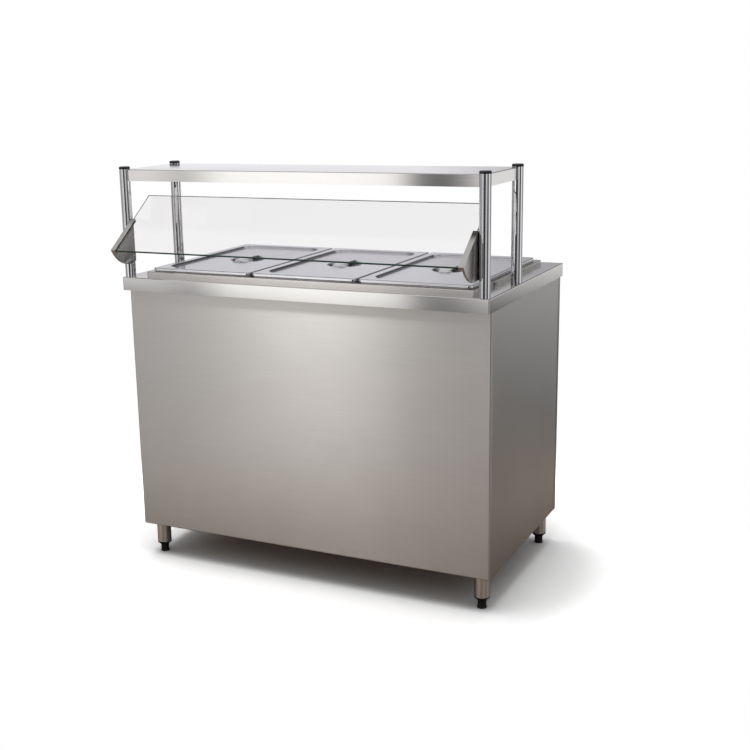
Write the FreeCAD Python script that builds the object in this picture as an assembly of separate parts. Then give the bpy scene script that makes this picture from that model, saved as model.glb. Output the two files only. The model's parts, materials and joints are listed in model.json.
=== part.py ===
import FreeCAD, Part
import math
import os

V = FreeCAD.Vector
os.makedirs("parts", exist_ok=True)

# Worktop, in mm. X runs along the counter, Y from the customer's edge to the server's, Z up
TOP_LENGTH = 1110.0
TOP_DEPTH = 650.0
TOP_HEIGHT = 860.0
TOP_EDGE = 38.0
TOP_SHEET = 1.5
TOP_BEND = 3.0
TOP_FRONT_LIP = 14.0
TOP_REAR_LIP = 10.0

# Cabinet of folded sheet
SIDE_OVERHANG = 3.2
FRONT_OVERHANG = 28.0
BACK_OVERHANG = 13.0
CABINET_BOTTOM = 100.0
PANEL_SHEET = 1.2
PANEL_BEND = 4.0
PANEL_RETURN = 12.0
FRONT_LIP = 16.0
SIDE_FLANGE = 14.0
UPRIGHT_FACE = 22.0
JAMB_WIDTH = 28.0
FLOOR_TOP = 128.0
FLOOR_LIP = 11.0
FIT_GAP = 0.3
CORNER_EASE = 1.6

# Control fascia and cupboard
FASCIA_DROP = 215.0
FASCIA_TOP_FLANGE = 18.0
CEILING_LIFT = 3.0
CEILING_UPTURN = 18.0
CONTROL_LIFT = 63.0
GLAND_INSET = 75.0
THERMOSTAT_INSET = 165.0
LAMP_INSET = 255.0
SWITCH_INSET = 330.0

# Sliding doors and their tracks
DOOR_DEPTH = 14.0
DOOR_SHEET = 1.0
DOOR_OVERLAP = 40.0
DOOR_SIDE_GAP = 1.0
TRACK_FIN = 1.2
TRACK_SLOT = 15.6
TRACK_BASE = 2.0
SILL_FIN = 12.0
HEAD_FIN = 18.0
SHOE_HEIGHT = 6.0
SHOE_LENGTH = 40.0
SHOE_INSET = 60.0
DOOR_HEAD_GAP = 5.0
PULL_WIDTH = 34.0
PULL_HEIGHT = 96.0
PULL_DEPTH = 9.0
PULL_INSET = 45.0

# Legs and levelling feet
LEG_DIAMETER = 42.0
LEG_WALL = 1.5
LEG_INSET_X = 40.0
LEG_INSET_FRONT = 75.0
LEG_INSET_REAR = 59.0
LEG_BOTTOM = 34.0
LEG_PLATE_IN = 36.0
LEG_PLATE_OUT = 22.0
LEG_PLATE_THICK = 4.0
FOOT_DIAMETER = 24.0
FOOT_FLARE = 27.0
FOOT_SHANK = 20.0
STEM_RADIUS = 5.0
STEM_REACH = 38.0
INSERT_COLLAR = 4.0
INSERT_TAPER = 7.4
INSERT_PLUG = 22.0
INSERT_LEAD = 2.0

# Hexagon bolts and pan-head screws
BOLT_RADIUS = 4.0
BOLT_LENGTH = 12.5
BOLT_HEAD = 5.3
BOLT_FLATS = 13.0
BOLT_HOLE = 4.4
BOLT_SPREAD = 27.0
SCREW_RADIUS = 2.5
SCREW_LENGTH = 12.0
SCREW_HEAD_RADIUS = 4.8
SCREW_HEAD = 3.0
SCREW_HOLE = 2.7

# Raised well frame, water tank and gastronorm pans
FRAME_INSET_X = 55.0
FRAME_FRONT = 44.0
FRAME_INSET_REAR = 39.0
FRAME_RISE = 12.0
FRAME_SHEET = 1.5
FRAME_BEND = 3.0
PAN_COUNT = 3
PAN_GAP = 2.0
PAN_INSET_X = 10.5
PAN_INSET_FRONT = 13.0
PAN_INSET_REAR = 24.0
PAN_BEARING = 12.0
PAN_DEPTH = 100.0
PAN_SHEET = 0.8
PAN_RIM = 3.4
PAN_RIM_TUCK = 3.5
PAN_RIM_BEND = 4.0
PAN_CORNER = 14.0
PAN_RIM_BAND = 13.0
PAN_BODY_CORNER = 42.0
PAN_DRAFT = 7.0
PAN_FLOOR_BEND = 14.0
PAN_FLOOR_REACH = 30.0
TANK_SHEET = 1.2
TANK_DEPTH = 125.0
TANK_CORNER = 26.0
TANK_FLOOR_BEND = 12.0
TANK_FLOOR_REACH = 17.0
TANK_FLANGE = 12.0
WELL_EASE = 4.6
DIVIDER_WIDTH = 18.0
DIVIDER_HEIGHT = 15.0

# Pan lids with a sunken panel, a finger dish and a strap handle
LID_RISE = 6.6
LID_SHEET = 0.8
LID_EDGE_BEND = 2.4
LID_RIM_BAND = 26.0
LID_SINK = 5.5
LID_WALL_RUN = 2.8
LID_CORNER = 46.0
LID_FLOOR_REACH = 36.0
DISH_RADIUS = 52.0
DISH_DEPTH = 13.0
DISH_WALL_RUN = 11.0
STRAP_WIDTH = 25.0
STRAP_SHEET = 1.5
STRAP_FOOT = 13.0
STRAP_RISE = 4.0
STRAP_SLOPE = 8.0

# Heating elements and drain
ELEMENT_RADIUS = 4.2
ELEMENT_SPREAD = 60.0
ELEMENT_LIFT = 14.0
ELEMENT_FRONT_GAP = 45.0
ELEMENT_BOSS_RADIUS = 9.0
DRAIN_INSET = 87.5
DRAIN_RADIUS = 13.0
DRAIN_BORE = 10.5
DRAIN_FLANGE_RADIUS = 24.0
VALVE_RADIUS = 20.0
VALVE_HALF = 28.0
VALVE_BALL = 14.0
VALVE_BORE = 8.0
VALVE_STEM = 5.0
VALVE_GLAND = 9.0
VALVE_STEM_REACH = 34.0
VALVE_DROP = 62.0
VALVE_TAIL = 34.0
LEVER_LENGTH = 92.0
LEVER_WIDTH = 14.0
LEVER_SHEET = 3.0
GRIP_LENGTH = 58.0
RUN_FIT = 0.05

# Gantry posts, overshelf and sneeze glass
POST_DIAMETER = 30.0
POST_WALL = 1.5
POST_INSET_X = 19.0
POST_INSET_FRONT = 16.0
POST_ROW_DEPTH = 252.0
POST_HEIGHT = 306.0
POST_PLUG = 13.0
CAP_HEIGHT = 7.0
CAP_ROUND = 3.0
CAP_RADIUS = 15.6
CAP_PLUG = 12.0
SHELF_DROP = 1.0
SHELF_EDGE = 32.0
SHELF_SHEET = 1.2
SHELF_BEND = 2.4
SHELF_LIP = 13.0
SHELF_PROUD = 4.0
WELD_GAP = 0.2
GLASS_THICK = 6.0
GLASS_LENGTH = 230.5
GLASS_TILT = 36.3
GLASS_Y = -84.5
GLASS_LIFT = 85.0
GLASS_ARRIS = 0.8
SEAL = 0.5
BRACKET_SHEET = 2.0
BRACKET_FLANGE = 12.5
BRACKET_RIM = 4.0
CHANNEL_LENGTH = 126.0
GUSSET_BACK = 6.0
GUSSET_DROP = 47.0
GUSSET_LOW_Y = -18.0
GUSSET_LIFT = 42.0
BRACKET_SCREW_LOW = 60.0
BRACKET_SCREW_HIGH = 126.0

# Thermostat, rocker switch, lamp and cable gland
KNOB_RADIUS = 22.0
KNOB_SKIRT = 6.0
KNOB_HEIGHT = 20.0
KNOB_GRIP = 11.0
KNOB_LIFT = 1.5
SPINDLE_RADIUS = 3.0
SPINDLE_REACH = 11.0
THERMOSTAT_SIDE = 38.0
THERMOSTAT_DEPTH = 16.0
BUSH_RADIUS = 5.0
BUSH_PROUD = 1.2
SWITCH_BEZEL_X = 15.0
SWITCH_BEZEL_Z = 11.5
SWITCH_BODY_X = 13.4
SWITCH_BODY_Z = 9.9
SWITCH_BODY_DEPTH = 15.0
SWITCH_BEZEL = 2.0
ROCKER_RADIUS = 8.2
ROCKER_HALF = 11.7
ROCKER_TILT = 12.0
ROCKER_CREST = 3.0
LAMP_BEZEL_RADIUS = 9.0
LAMP_LENS_RADIUS = 6.2
LAMP_BODY_RADIUS = 6.6
LAMP_BODY_DEPTH = 15.0
GLAND_RADIUS = 8.0
GLAND_FLATS = 22.0
GLAND_BORE = 4.5
GLAND_REACH = 18.5
GLAND_TAIL = 9.0

# Levels and lines that follow from the sizes above
HALF_LENGTH = TOP_LENGTH / 2
TOP_UNDER = TOP_HEIGHT - TOP_SHEET
SIDE_X = HALF_LENGTH - SIDE_OVERHANG
SIDE_INNER = SIDE_X - PANEL_SHEET
FRONT_Y = FRONT_OVERHANG
SEAM_Y = FRONT_Y + PANEL_RETURN
REAR_Y = TOP_DEPTH - BACK_OVERHANG
UPRIGHT_Y = REAR_Y - UPRIGHT_FACE
FASCIA_BOTTOM = TOP_HEIGHT - FASCIA_DROP
FASCIA_Y = UPRIGHT_Y + PANEL_SHEET * 2
FASCIA_INNER = FASCIA_Y - PANEL_SHEET
CEILING_Z = FASCIA_BOTTOM + CEILING_LIFT
CONTROL_Z = FASCIA_BOTTOM + CONTROL_LIFT
GLAND_X = GLAND_INSET - HALF_LENGTH
THERMOSTAT_X = THERMOSTAT_INSET - HALF_LENGTH
LAMP_X = LAMP_INSET - HALF_LENGTH
SWITCH_X = SWITCH_INSET - HALF_LENGTH
LINER_X = SIDE_INNER - FIT_GAP
FOLD_X = SIDE_INNER - CORNER_EASE
FLOOR_UNDER = FLOOR_TOP - PANEL_SHEET
FLOOR_BOTTOM = CABINET_BOTTOM + PANEL_SHEET
FLOOR_FRONT = SEAM_Y + PANEL_SHEET + CORNER_EASE
CEILING_FRONT = SEAM_Y + PANEL_SHEET + FIT_GAP
FLOOR_REAR = REAR_Y - PANEL_SHEET - FIT_GAP
TRACK_DEPTH = TRACK_FIN * 3 + TRACK_SLOT * 2
TRACK_REAR = FLOOR_REAR - FIT_GAP
TRACK_FRONT = TRACK_REAR - TRACK_DEPTH
JAMB_X = SIDE_X - JAMB_WIDTH
DOOR_WIDTH = JAMB_X - DOOR_SIDE_GAP + DOOR_OVERLAP / 2
SILL_BASE = FLOOR_TOP + TRACK_BASE
DOOR_BOTTOM = SILL_BASE + SHOE_HEIGHT
HEAD_TOP = FASCIA_BOTTOM - PANEL_SHEET
DOOR_TOP = HEAD_TOP - TRACK_BASE - DOOR_HEAD_GAP
DOOR_GAP = (TRACK_SLOT - DOOR_DEPTH) / 2
INNER_DOOR_Y = TRACK_FRONT + TRACK_FIN + DOOR_GAP
OUTER_DOOR_Y = INNER_DOOR_Y + TRACK_FIN + TRACK_SLOT
LEG_X = HALF_LENGTH - LEG_INSET_X
LEG_FRONT = LEG_INSET_FRONT
LEG_REAR = TOP_DEPTH - LEG_INSET_REAR
LEG_RADIUS = LEG_DIAMETER / 2
FRAME_TOP = TOP_HEIGHT + FRAME_RISE
FRAME_LENGTH = TOP_LENGTH - FRAME_INSET_X * 2
FRAME_REAR = TOP_DEPTH - FRAME_INSET_REAR
PAN_FRONT = FRAME_FRONT + PAN_INSET_FRONT
PAN_REAR = FRAME_REAR - PAN_INSET_REAR
PAN_LENGTH = PAN_REAR - PAN_FRONT
PAN_PITCH = (FRAME_LENGTH - PAN_INSET_X * 2 + PAN_GAP) / PAN_COUNT
PAN_WIDTH = PAN_PITCH - PAN_GAP
PAN_MID_Y = (PAN_FRONT + PAN_REAR) / 2
PAN_SPAN = (PAN_COUNT - 1) * PAN_PITCH + PAN_WIDTH
WELL_X = PAN_SPAN / 2 - PAN_BEARING
WELL_FRONT = PAN_FRONT + PAN_BEARING
WELL_REAR = PAN_REAR - PAN_BEARING
WELL_MID_Y = (WELL_FRONT + WELL_REAR) / 2
WELL_HALF_Y = (WELL_REAR - WELL_FRONT) / 2
DRAIN_X = WELL_X - DRAIN_INSET
DRAIN_Y = WELL_MID_Y
TANK_TOP = TOP_HEIGHT + TANK_SHEET
TANK_FLOOR = TANK_TOP - TANK_DEPTH
PAN_TOP = FRAME_TOP + PAN_RIM
LID_TOP = PAN_TOP + LID_RISE
LID_PANEL = LID_TOP - LID_SINK
POST_X = HALF_LENGTH - POST_INSET_X
POST_RADIUS = POST_DIAMETER / 2
POST_FRONT = POST_INSET_FRONT
POST_REAR = POST_FRONT + POST_ROW_DEPTH
POST_TOP = TOP_HEIGHT + POST_HEIGHT
SHELF_TOP = POST_TOP - SHELF_DROP
SHELF_BOTTOM = SHELF_TOP - SHELF_EDGE
GLASS_Z = TOP_HEIGHT + GLASS_LIFT
GUSSET_LOW_Z = TOP_HEIGHT + GUSSET_LIFT
GUSSET_OUTER = POST_X - POST_RADIUS - WELD_GAP
GUSSET_INNER = GUSSET_OUTER - BRACKET_SHEET
GLASS_HALF = GUSSET_INNER - SEAL * 5
VALVE_Z = CEILING_Z - VALVE_DROP
PAN_NAMES = ("left", "centre", "right")
PAN_XS = tuple((i - (PAN_COUNT - 1) / 2) * PAN_PITCH for i in range(PAN_COUNT))
SIDES = (("left", -1), ("right", 1))
ENDS_X = (-1, 1)

NODES = {}


def keep(name, shape):
    """Files a finished piece under its node name."""
    NODES[name] = shape
    return shape


def box(x0, x1, y0, y1, z0, z1):
    """Block between two corners."""
    return Part.makeBox(x1 - x0, y1 - y0, z1 - z0, V(x0, y0, z0))


def rod(radius, start, direction, length):
    """Round bar from a point along a direction."""
    return Part.makeCylinder(radius, length, V(*start), V(*direction))


def hexagon(flats, start, direction, length):
    """Six-sided bar standing on a point."""
    radius = flats / 2 / math.cos(math.pi / 6)
    points = [V(radius * math.cos(a), radius * math.sin(a), 0)
              for a in (math.pi / 3 * i for i in range(7))]
    bar = Part.Face(Part.makePolygon(points)).extrude(V(0, 0, length))
    bar.Placement = FreeCAD.Placement(V(*start), FreeCAD.Rotation(V(0, 0, 1), V(*direction)))
    return bar


def turned(points, start, direction):
    """Solid of revolution from (radius, height) points, its axis through start."""
    outline = [V(r, 0, h) for r, h in points]
    face = Part.Face(Part.makePolygon(outline + outline[:1]))
    solid = face.revolve(V(0, 0, 0), V(0, 0, 1), 360)
    solid.Placement = FreeCAD.Placement(V(*start), FreeCAD.Rotation(V(0, 0, 1), V(*direction)))
    return solid


def joined(pieces):
    """One solid from touching pieces, with the seams taken out."""
    first = pieces[0]
    return first.multiFuse(pieces[1:]).removeSplitter() if len(pieces) > 1 else first


def mirrored(shape):
    """The same piece for the other end of the counter."""
    return shape.mirror(V(0, 0, 0), V(1, 0, 0))


def soft_box(bounds, radius, closed):
    """Block with the edges between closed sides rounded."""
    block = box(*bounds)
    if radius < 0.05:
        return block
    picked = []
    for edge in block.Edges:
        mid = edge.CenterOfMass
        spots = (mid.x, mid.x, mid.y, mid.y, mid.z, mid.z)
        near = [i for i in range(6) if abs(spots[i] - bounds[i]) < 1e-6]
        if len(near) == 2 and all(i in closed for i in near):
            picked.append(edge)
    return block.makeFillet(radius, picked) if picked else block


def folded_box(bounds, sheet, bend, closed):
    """Sheet-metal tray with the listed sides closed, in the order x0 x1 y0 y1 z0 z1."""
    inner = list(bounds)
    for i in range(6):
        away = 1 if i % 2 else -1
        inner[i] += -away * sheet if i in closed else away * 2
    return soft_box(bounds, bend, closed).cut(soft_box(inner, bend - sheet, closed))


def rounded(half_x, half_y, radius, z0, z1, cx=0.0, cy=0.0):
    """Block with four rounded upright corners."""
    bounds = (cx - half_x, cx + half_x, cy - half_y, cy + half_y, z0, z1)
    return soft_box(bounds, radius, (0, 1, 2, 3))


def strip(path, sheet, bend, place, side=1):
    """Face of a folded strip: a bent line given a thickness on one side."""
    points = [V(a, b, 0) for a, b in path]
    runs = [(q - p).normalize() for p, q in zip(points, points[1:])]
    lefts = [V(-d.y, d.x, 0) * side for d in runs]
    inner = [points[0] + lefts[0] * sheet]
    for i in range(1, len(points) - 1):
        both = lefts[i - 1] + lefts[i]
        inner.append(points[i] + both * (sheet * 2 / both.dot(both)))
    inner.append(points[-1] + lefts[-1] * sheet)

    def chain(line, offset_side):
        """Straight runs and bend arcs along one side of the strip."""
        pieces = []
        last = line[0]
        for i in range(1, len(line) - 1):
            turn = runs[i - 1].cross(runs[i]).z * side
            angle = runs[i - 1].getAngle(runs[i])
            inside = (turn > 0) == offset_side
            radius = bend if inside else bend + sheet
            reach = radius * math.tan(angle / 2)
            start = line[i] - runs[i - 1] * reach
            end = line[i] + runs[i] * reach
            inward = (runs[i] - runs[i - 1]).normalize()
            middle = line[i] + inward * (radius / math.cos(angle / 2) - radius)
            pieces.append((last, start))
            pieces.append((start, middle, end))
            last = end
        pieces.append((last, line[-1]))
        return pieces

    there = chain(points, False)
    back = [tuple(reversed(piece)) for piece in reversed(chain(inner, True))]
    loop = there + [(points[-1], inner[-1])] + back + [(inner[0], points[0])]
    edges = []
    for piece in loop:
        ends = [place(p.x, p.y) for p in piece]
        if len(ends) == 3:
            edges.append(Part.Arc(*ends).toShape())
        elif ends[0].distanceToPoint(ends[1]) > 1e-6:
            edges.append(Part.makeLine(*ends))
    return Part.Face(Part.Wire(edges))


def ring(path, sheet, bend, half_x, half_y, corner, cx=0.0, cy=0.0):
    """Pressed rim: a strip of (outward, height) points led round a rounded rectangle."""
    run_x = half_x - corner
    run_y = half_y - corner
    pieces = []
    for quarter in range(4):
        out, along = (run_x, run_y) if quarter % 2 == 0 else (run_y, run_x)
        face = strip(path, sheet, bend, lambda n, z: V(out + corner + n, -along, z))
        straight = face.extrude(V(0, along * 2, 0))
        bent = face.translated(V(0, along * 2, 0))
        curve = bent.revolve(V(out, along, 0), V(0, 0, 1), 90)
        for piece in (straight, curve):
            piece.rotate(V(0, 0, 0), V(0, 0, 1), 90 * quarter)
            piece.translate(V(cx, cy, 0))
            pieces.append(piece)
    return pieces


def at_y(shape, x, y, z):
    """Stands a piece drawn up the Z axis on a wall that faces the server."""
    turn = FreeCAD.Rotation(V(1, 0, 0), -90)
    shape.Placement = FreeCAD.Placement(V(x, y, z), turn).multiply(shape.Placement)
    return shape


def bolt(start, direction):
    """Hexagon bolt with its head's seat at start, pointing along direction."""
    back = [-c * BOLT_HEAD for c in direction]
    head_start = [s + b for s, b in zip(start, back)]
    head = hexagon(BOLT_FLATS, head_start, direction, BOLT_HEAD)
    return joined([head, rod(BOLT_RADIUS, start, direction, BOLT_LENGTH)])


def screw(start, direction):
    """Pan-head screw with its head's seat at start, pointing along direction."""
    crown = SCREW_HEAD_RADIUS - 1.4
    outline = [(0, SCREW_LENGTH), (SCREW_RADIUS - 0.6, SCREW_LENGTH), (SCREW_RADIUS, SCREW_LENGTH - 0.8)]
    outline += [(SCREW_RADIUS, 0), (SCREW_HEAD_RADIUS, 0), (SCREW_HEAD_RADIUS, -SCREW_HEAD + 1.2)]
    outline += [(crown, -SCREW_HEAD), (0, -SCREW_HEAD)]
    body = turned(outline, start, direction)
    slot = Part.makeBox(SCREW_HEAD_RADIUS * 1.3, 1.1, 1.4, V(-SCREW_HEAD_RADIUS * 0.65, -0.55, -SCREW_HEAD - 0.1))
    slot.Placement = body.Placement
    return body.cut(slot)


# Worktop: turned-down edges, lips at front and rear, an opening for the well and holes for the post bolts
POST_SPOTS = [(sx * POST_X, y) for sx in ENDS_X for y in (POST_FRONT, POST_REAR)]
edge_z = TOP_HEIGHT - TOP_EDGE
lip_x = HALF_LENGTH - TOP_SHEET
worktop = folded_box((-HALF_LENGTH, HALF_LENGTH, 0, TOP_DEPTH, edge_z, TOP_HEIGHT),
                     TOP_SHEET, TOP_BEND, (0, 1, 2, 3, 5))
front_lip = box(-lip_x, lip_x, TOP_SHEET / 2, TOP_FRONT_LIP, edge_z, edge_z + TOP_SHEET)
rear_lip = box(-lip_x, lip_x, TOP_DEPTH - TOP_REAR_LIP, TOP_DEPTH - TOP_SHEET / 2, edge_z, edge_z + TOP_SHEET)
lips = front_lip.fuse(rear_lip).common(soft_box((-HALF_LENGTH, HALF_LENGTH, 0, TOP_DEPTH, edge_z, TOP_HEIGHT),
                                                TOP_BEND, (0, 1, 2, 3, 5)))
worktop = joined([worktop, lips])
well_cut = rounded(WELL_X + WELL_EASE, WELL_HALF_Y + WELL_EASE, TANK_CORNER + WELL_EASE,
                   TOP_UNDER - 1, TOP_HEIGHT + 1, 0, WELL_MID_Y)
holes = [rod(BOLT_HOLE, (x, y, TOP_UNDER - 1), (0, 0, 1), TOP_SHEET + 2) for x, y in POST_SPOTS]
keep("worktop", worktop.cut(Part.makeCompound([well_cut] + holes)))

# Raised frame round the well
frame = folded_box((-FRAME_LENGTH / 2, FRAME_LENGTH / 2, FRAME_FRONT, FRAME_REAR, TOP_HEIGHT, FRAME_TOP),
                   FRAME_SHEET, FRAME_BEND, (0, 1, 2, 3, 5))
skirt_low = TANK_TOP
mouth = rounded(WELL_X, WELL_HALF_Y, TANK_CORNER, skirt_low - 2, FRAME_TOP + 1, 0, WELL_MID_Y)
collar = rounded(WELL_X + FRAME_SHEET, WELL_HALF_Y + FRAME_SHEET, TANK_CORNER + FRAME_SHEET,
                 skirt_low, FRAME_TOP - FRAME_SHEET / 2, 0, WELL_MID_Y)
keep("well_frame", joined([frame, collar]).cut(mouth))

# Water tank, hung by its flange from the worktop
tank_path = [(TANK_FLANGE, TANK_TOP), (0, TANK_TOP), (0, TANK_FLOOR), (-TANK_FLOOR_REACH, TANK_FLOOR)]
tank_parts = ring(tank_path, TANK_SHEET, TANK_FLOOR_BEND / 4, WELL_X, WELL_HALF_Y, TANK_CORNER, 0, WELL_MID_Y)
tank_parts.append(rounded(WELL_X - TANK_FLOOR_REACH, WELL_HALF_Y - TANK_FLOOR_REACH,
                          TANK_CORNER - TANK_FLOOR_REACH, TANK_FLOOR - TANK_SHEET, TANK_FLOOR, 0, WELL_MID_Y))
element_z = TANK_FLOOR + ELEMENT_LIFT
tank_holes = [rod(DRAIN_RADIUS + 0.2, (DRAIN_X, DRAIN_Y, TANK_FLOOR - 4), (0, 0, 1), 8)]
ELEMENT_LEGS = [(x, sx) for x in PAN_XS for sx in ENDS_X]
for x, sx in ELEMENT_LEGS:
    tank_holes.append(rod(ELEMENT_RADIUS + 0.3, (x + sx * ELEMENT_SPREAD, WELL_REAR - 3, element_z), (0, 1, 0), 8))
keep("well_tank", joined(tank_parts).cut(Part.makeCompound(tank_holes)))

# Two bars across the well between the pans
bars = []
for left, right in zip(PAN_XS, PAN_XS[1:]):
    middle = (left + right) / 2
    bars.append(folded_box((middle - DIVIDER_WIDTH / 2, middle + DIVIDER_WIDTH / 2, WELL_FRONT, WELL_REAR,
                            FRAME_TOP - DIVIDER_HEIGHT, FRAME_TOP), TANK_SHEET, 2.0, (0, 1, 5)))
keep("pan_dividers", Part.makeCompound(bars))

# Heating elements: hairpins over the tank floor with their ends through the rear wall
elements = []
for x in PAN_XS:
    front = WELL_FRONT + ELEMENT_FRONT_GAP + ELEMENT_SPREAD
    back = WELL_REAR + TANK_SHEET + 14
    legs = [rod(ELEMENT_RADIUS, (x + sx * ELEMENT_SPREAD, front, element_z), (0, 1, 0), back - front)
            for sx in ENDS_X]
    bend = Part.makeTorus(ELEMENT_SPREAD, ELEMENT_RADIUS, V(x, front, element_z), V(0, 0, 1), -180, 180, 180)
    bend.rotate(V(x, front, element_z), V(0, 0, 1), 180)
    seats = [hexagon(ELEMENT_BOSS_RADIUS * 2, (x + sx * ELEMENT_SPREAD, WELL_REAR + TANK_SHEET, element_z),
                     (0, 1, 0), 7) for sx in ENDS_X]
    elements.append(joined(legs + [bend] + seats))
keep("heating_elements", Part.makeCompound(elements))

# Drain: a flanged outlet, a ball valve below it and its lever
stub_low = VALVE_Z + VALVE_HALF
outlet = turned([(DRAIN_BORE, stub_low), (DRAIN_RADIUS, stub_low), (DRAIN_RADIUS, TANK_FLOOR),
                 (DRAIN_FLANGE_RADIUS, TANK_FLOOR), (DRAIN_FLANGE_RADIUS, TANK_FLOOR + 1),
                 (DRAIN_BORE + 4, TANK_FLOOR + 2.5), (DRAIN_BORE, TANK_FLOOR + 2.5)], (DRAIN_X, DRAIN_Y, 0), (0, 0, 1))
keep("drain_outlet", outlet)
tail = VALVE_Z - VALVE_HALF - VALVE_TAIL
valve = turned([(0, VALVE_Z + VALVE_HALF), (DRAIN_RADIUS + 4, VALVE_Z + VALVE_HALF),
                (DRAIN_RADIUS + 4, VALVE_Z + VALVE_HALF - 10), (VALVE_RADIUS, VALVE_Z + VALVE_HALF - 14),
                (VALVE_RADIUS, VALVE_Z - VALVE_HALF + 14), (DRAIN_RADIUS + 4, VALVE_Z - VALVE_HALF + 10),
                (DRAIN_RADIUS + 4, VALVE_Z - VALVE_HALF), (DRAIN_BORE, VALVE_Z - VALVE_HALF),
                (DRAIN_BORE, tail + 24), (DRAIN_BORE + 1.2, tail + 21), (DRAIN_BORE, tail + 20),
                (DRAIN_BORE, tail + 14), (DRAIN_BORE + 1.2, tail + 11), (DRAIN_BORE, tail + 10),
                (DRAIN_BORE - 1, tail), (0, tail)], (DRAIN_X, DRAIN_Y, 0), (0, 0, 1))
gland_tip = VALVE_RADIUS + 8
valve = joined([valve, rod(VALVE_GLAND, (DRAIN_X, DRAIN_Y, VALVE_Z), (0, 1, 0), gland_tip)])
hollow = joined([rod(VALVE_BORE, (DRAIN_X, DRAIN_Y, tail - 1), (0, 0, 1), VALVE_Z + VALVE_HALF - tail + 2),
                 Part.makeSphere(VALVE_BALL + FIT_GAP, V(DRAIN_X, DRAIN_Y, VALVE_Z)),
                 rod(VALVE_STEM + RUN_FIT, (DRAIN_X, DRAIN_Y, VALVE_Z), (0, 1, 0), gland_tip + 1)])
keep("drain_valve_body", valve.cut(hollow))
ball = Part.makeSphere(VALVE_BALL, V(DRAIN_X, DRAIN_Y, VALVE_Z))
ball = ball.cut(rod(VALVE_BORE, (DRAIN_X - VALVE_BALL - 1, DRAIN_Y, VALVE_Z), (1, 0, 0), VALVE_BALL * 2 + 2))
stem = rod(VALVE_STEM, (DRAIN_X, DRAIN_Y + VALVE_BALL - 2, VALVE_Z), (0, 1, 0), VALVE_STEM_REACH - VALVE_BALL + 2)
keep("drain_ball", joined([ball, stem]))
lever_y = DRAIN_Y + VALVE_STEM_REACH - LEVER_SHEET
lever_path = [(-VALVE_GLAND, lever_y), (26, lever_y), (40, lever_y + 12), (LEVER_LENGTH, lever_y + 12)]
lever = strip(lever_path, LEVER_SHEET, 4.0, lambda a, b: V(DRAIN_X + a, b, VALVE_Z - LEVER_WIDTH / 2))
lever = lever.extrude(V(0, 0, LEVER_WIDTH))
lever = lever.cut(rod(VALVE_STEM + 0.02, (DRAIN_X, lever_y - 2, VALVE_Z), (0, 1, 0), LEVER_SHEET + 4))
grip_x = DRAIN_X + LEVER_LENGTH - GRIP_LENGTH + 6
grip = soft_box((grip_x, grip_x + GRIP_LENGTH, lever_y + 9.5, lever_y + 17.5, VALVE_Z - LEVER_WIDTH / 2 - 2,
                 VALVE_Z + LEVER_WIDTH / 2 + 2), 2.5, (0, 1, 2, 3, 4, 5))
keep("drain_lever", joined([lever, grip]))

# Front panel: a tray folded back at both ends and below, with lips for the side panels
front = folded_box((-SIDE_X, SIDE_X, FRONT_Y, SEAM_Y, CABINET_BOTTOM, TOP_UNDER), PANEL_SHEET, PANEL_BEND, (0, 1, 2, 4))
front_lips = [box(sx * (SIDE_X - FRONT_LIP / 2) - FRONT_LIP / 2, sx * (SIDE_X - FRONT_LIP / 2) + FRONT_LIP / 2,
                  SEAM_Y - PANEL_SHEET, SEAM_Y, CABINET_BOTTOM, TOP_UNDER) for sx in ENDS_X]
keep("front_panel", joined([front] + front_lips))

# Side panels and rear uprights
side = folded_box((SIDE_X - SIDE_FLANGE, SIDE_X, SEAM_Y, UPRIGHT_Y, CABINET_BOTTOM, TOP_UNDER),
                  PANEL_SHEET, PANEL_SHEET + 0.8, (1, 2, 3, 4))
upright_path = [(SIDE_X - SIDE_FLANGE, UPRIGHT_Y), (SIDE_X, UPRIGHT_Y), (SIDE_X, REAR_Y), (JAMB_X, REAR_Y)]
upright = strip(upright_path, PANEL_SHEET, 1.2, lambda a, b: V(a, b, CABINET_BOTTOM))
upright = upright.extrude(V(0, 0, TOP_UNDER - CABINET_BOTTOM))
screw_zs = (TOP_HEIGHT - TOP_EDGE - 22, FASCIA_BOTTOM + 34)
flange_x = SIDE_X - SIDE_FLANGE / 2
fascia_spots = [(sx * flange_x, z) for sx in ENDS_X for z in screw_zs]
flange_holes = Part.makeCompound([rod(SCREW_HOLE, (x, UPRIGHT_Y - 4, z), (0, 1, 0), 9) for x, z in fascia_spots])
for name, sx in SIDES:
    panel = side if sx > 0 else mirrored(side)
    post = upright if sx > 0 else mirrored(upright)
    keep("side_panel_" + name, panel.cut(flange_holes))
    keep("rear_upright_" + name, post.cut(flange_holes))

# Cupboard floor: a tray turned down and under, notched round the rear uprights
floor = folded_box((-FOLD_X, FOLD_X, FLOOR_FRONT, FLOOR_REAR, FLOOR_BOTTOM, FLOOR_TOP),
                   PANEL_SHEET, 2.4, (0, 1, 2, 3, 5))
inner_x = FOLD_X - PANEL_SHEET / 2
under = [box(-inner_x, inner_x, FLOOR_FRONT + 0.6, FLOOR_FRONT + FLOOR_LIP, FLOOR_BOTTOM, FLOOR_BOTTOM + PANEL_SHEET),
         box(-inner_x, inner_x, FLOOR_REAR - FLOOR_LIP, FLOOR_REAR - 0.6, FLOOR_BOTTOM, FLOOR_BOTTOM + PANEL_SHEET)]
LEG_SPOTS = [(sx * LEG_X, y) for sx in ENDS_X for y in (LEG_FRONT, LEG_REAR)]
LEG_NAMES = ("front_left", "rear_left", "front_right", "rear_right")


def inward(x, y):
    """Which way the middle of the counter lies from a leg, along X and along Y."""
    return math.copysign(1, -x), (1 if y == LEG_FRONT else -1)


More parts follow.
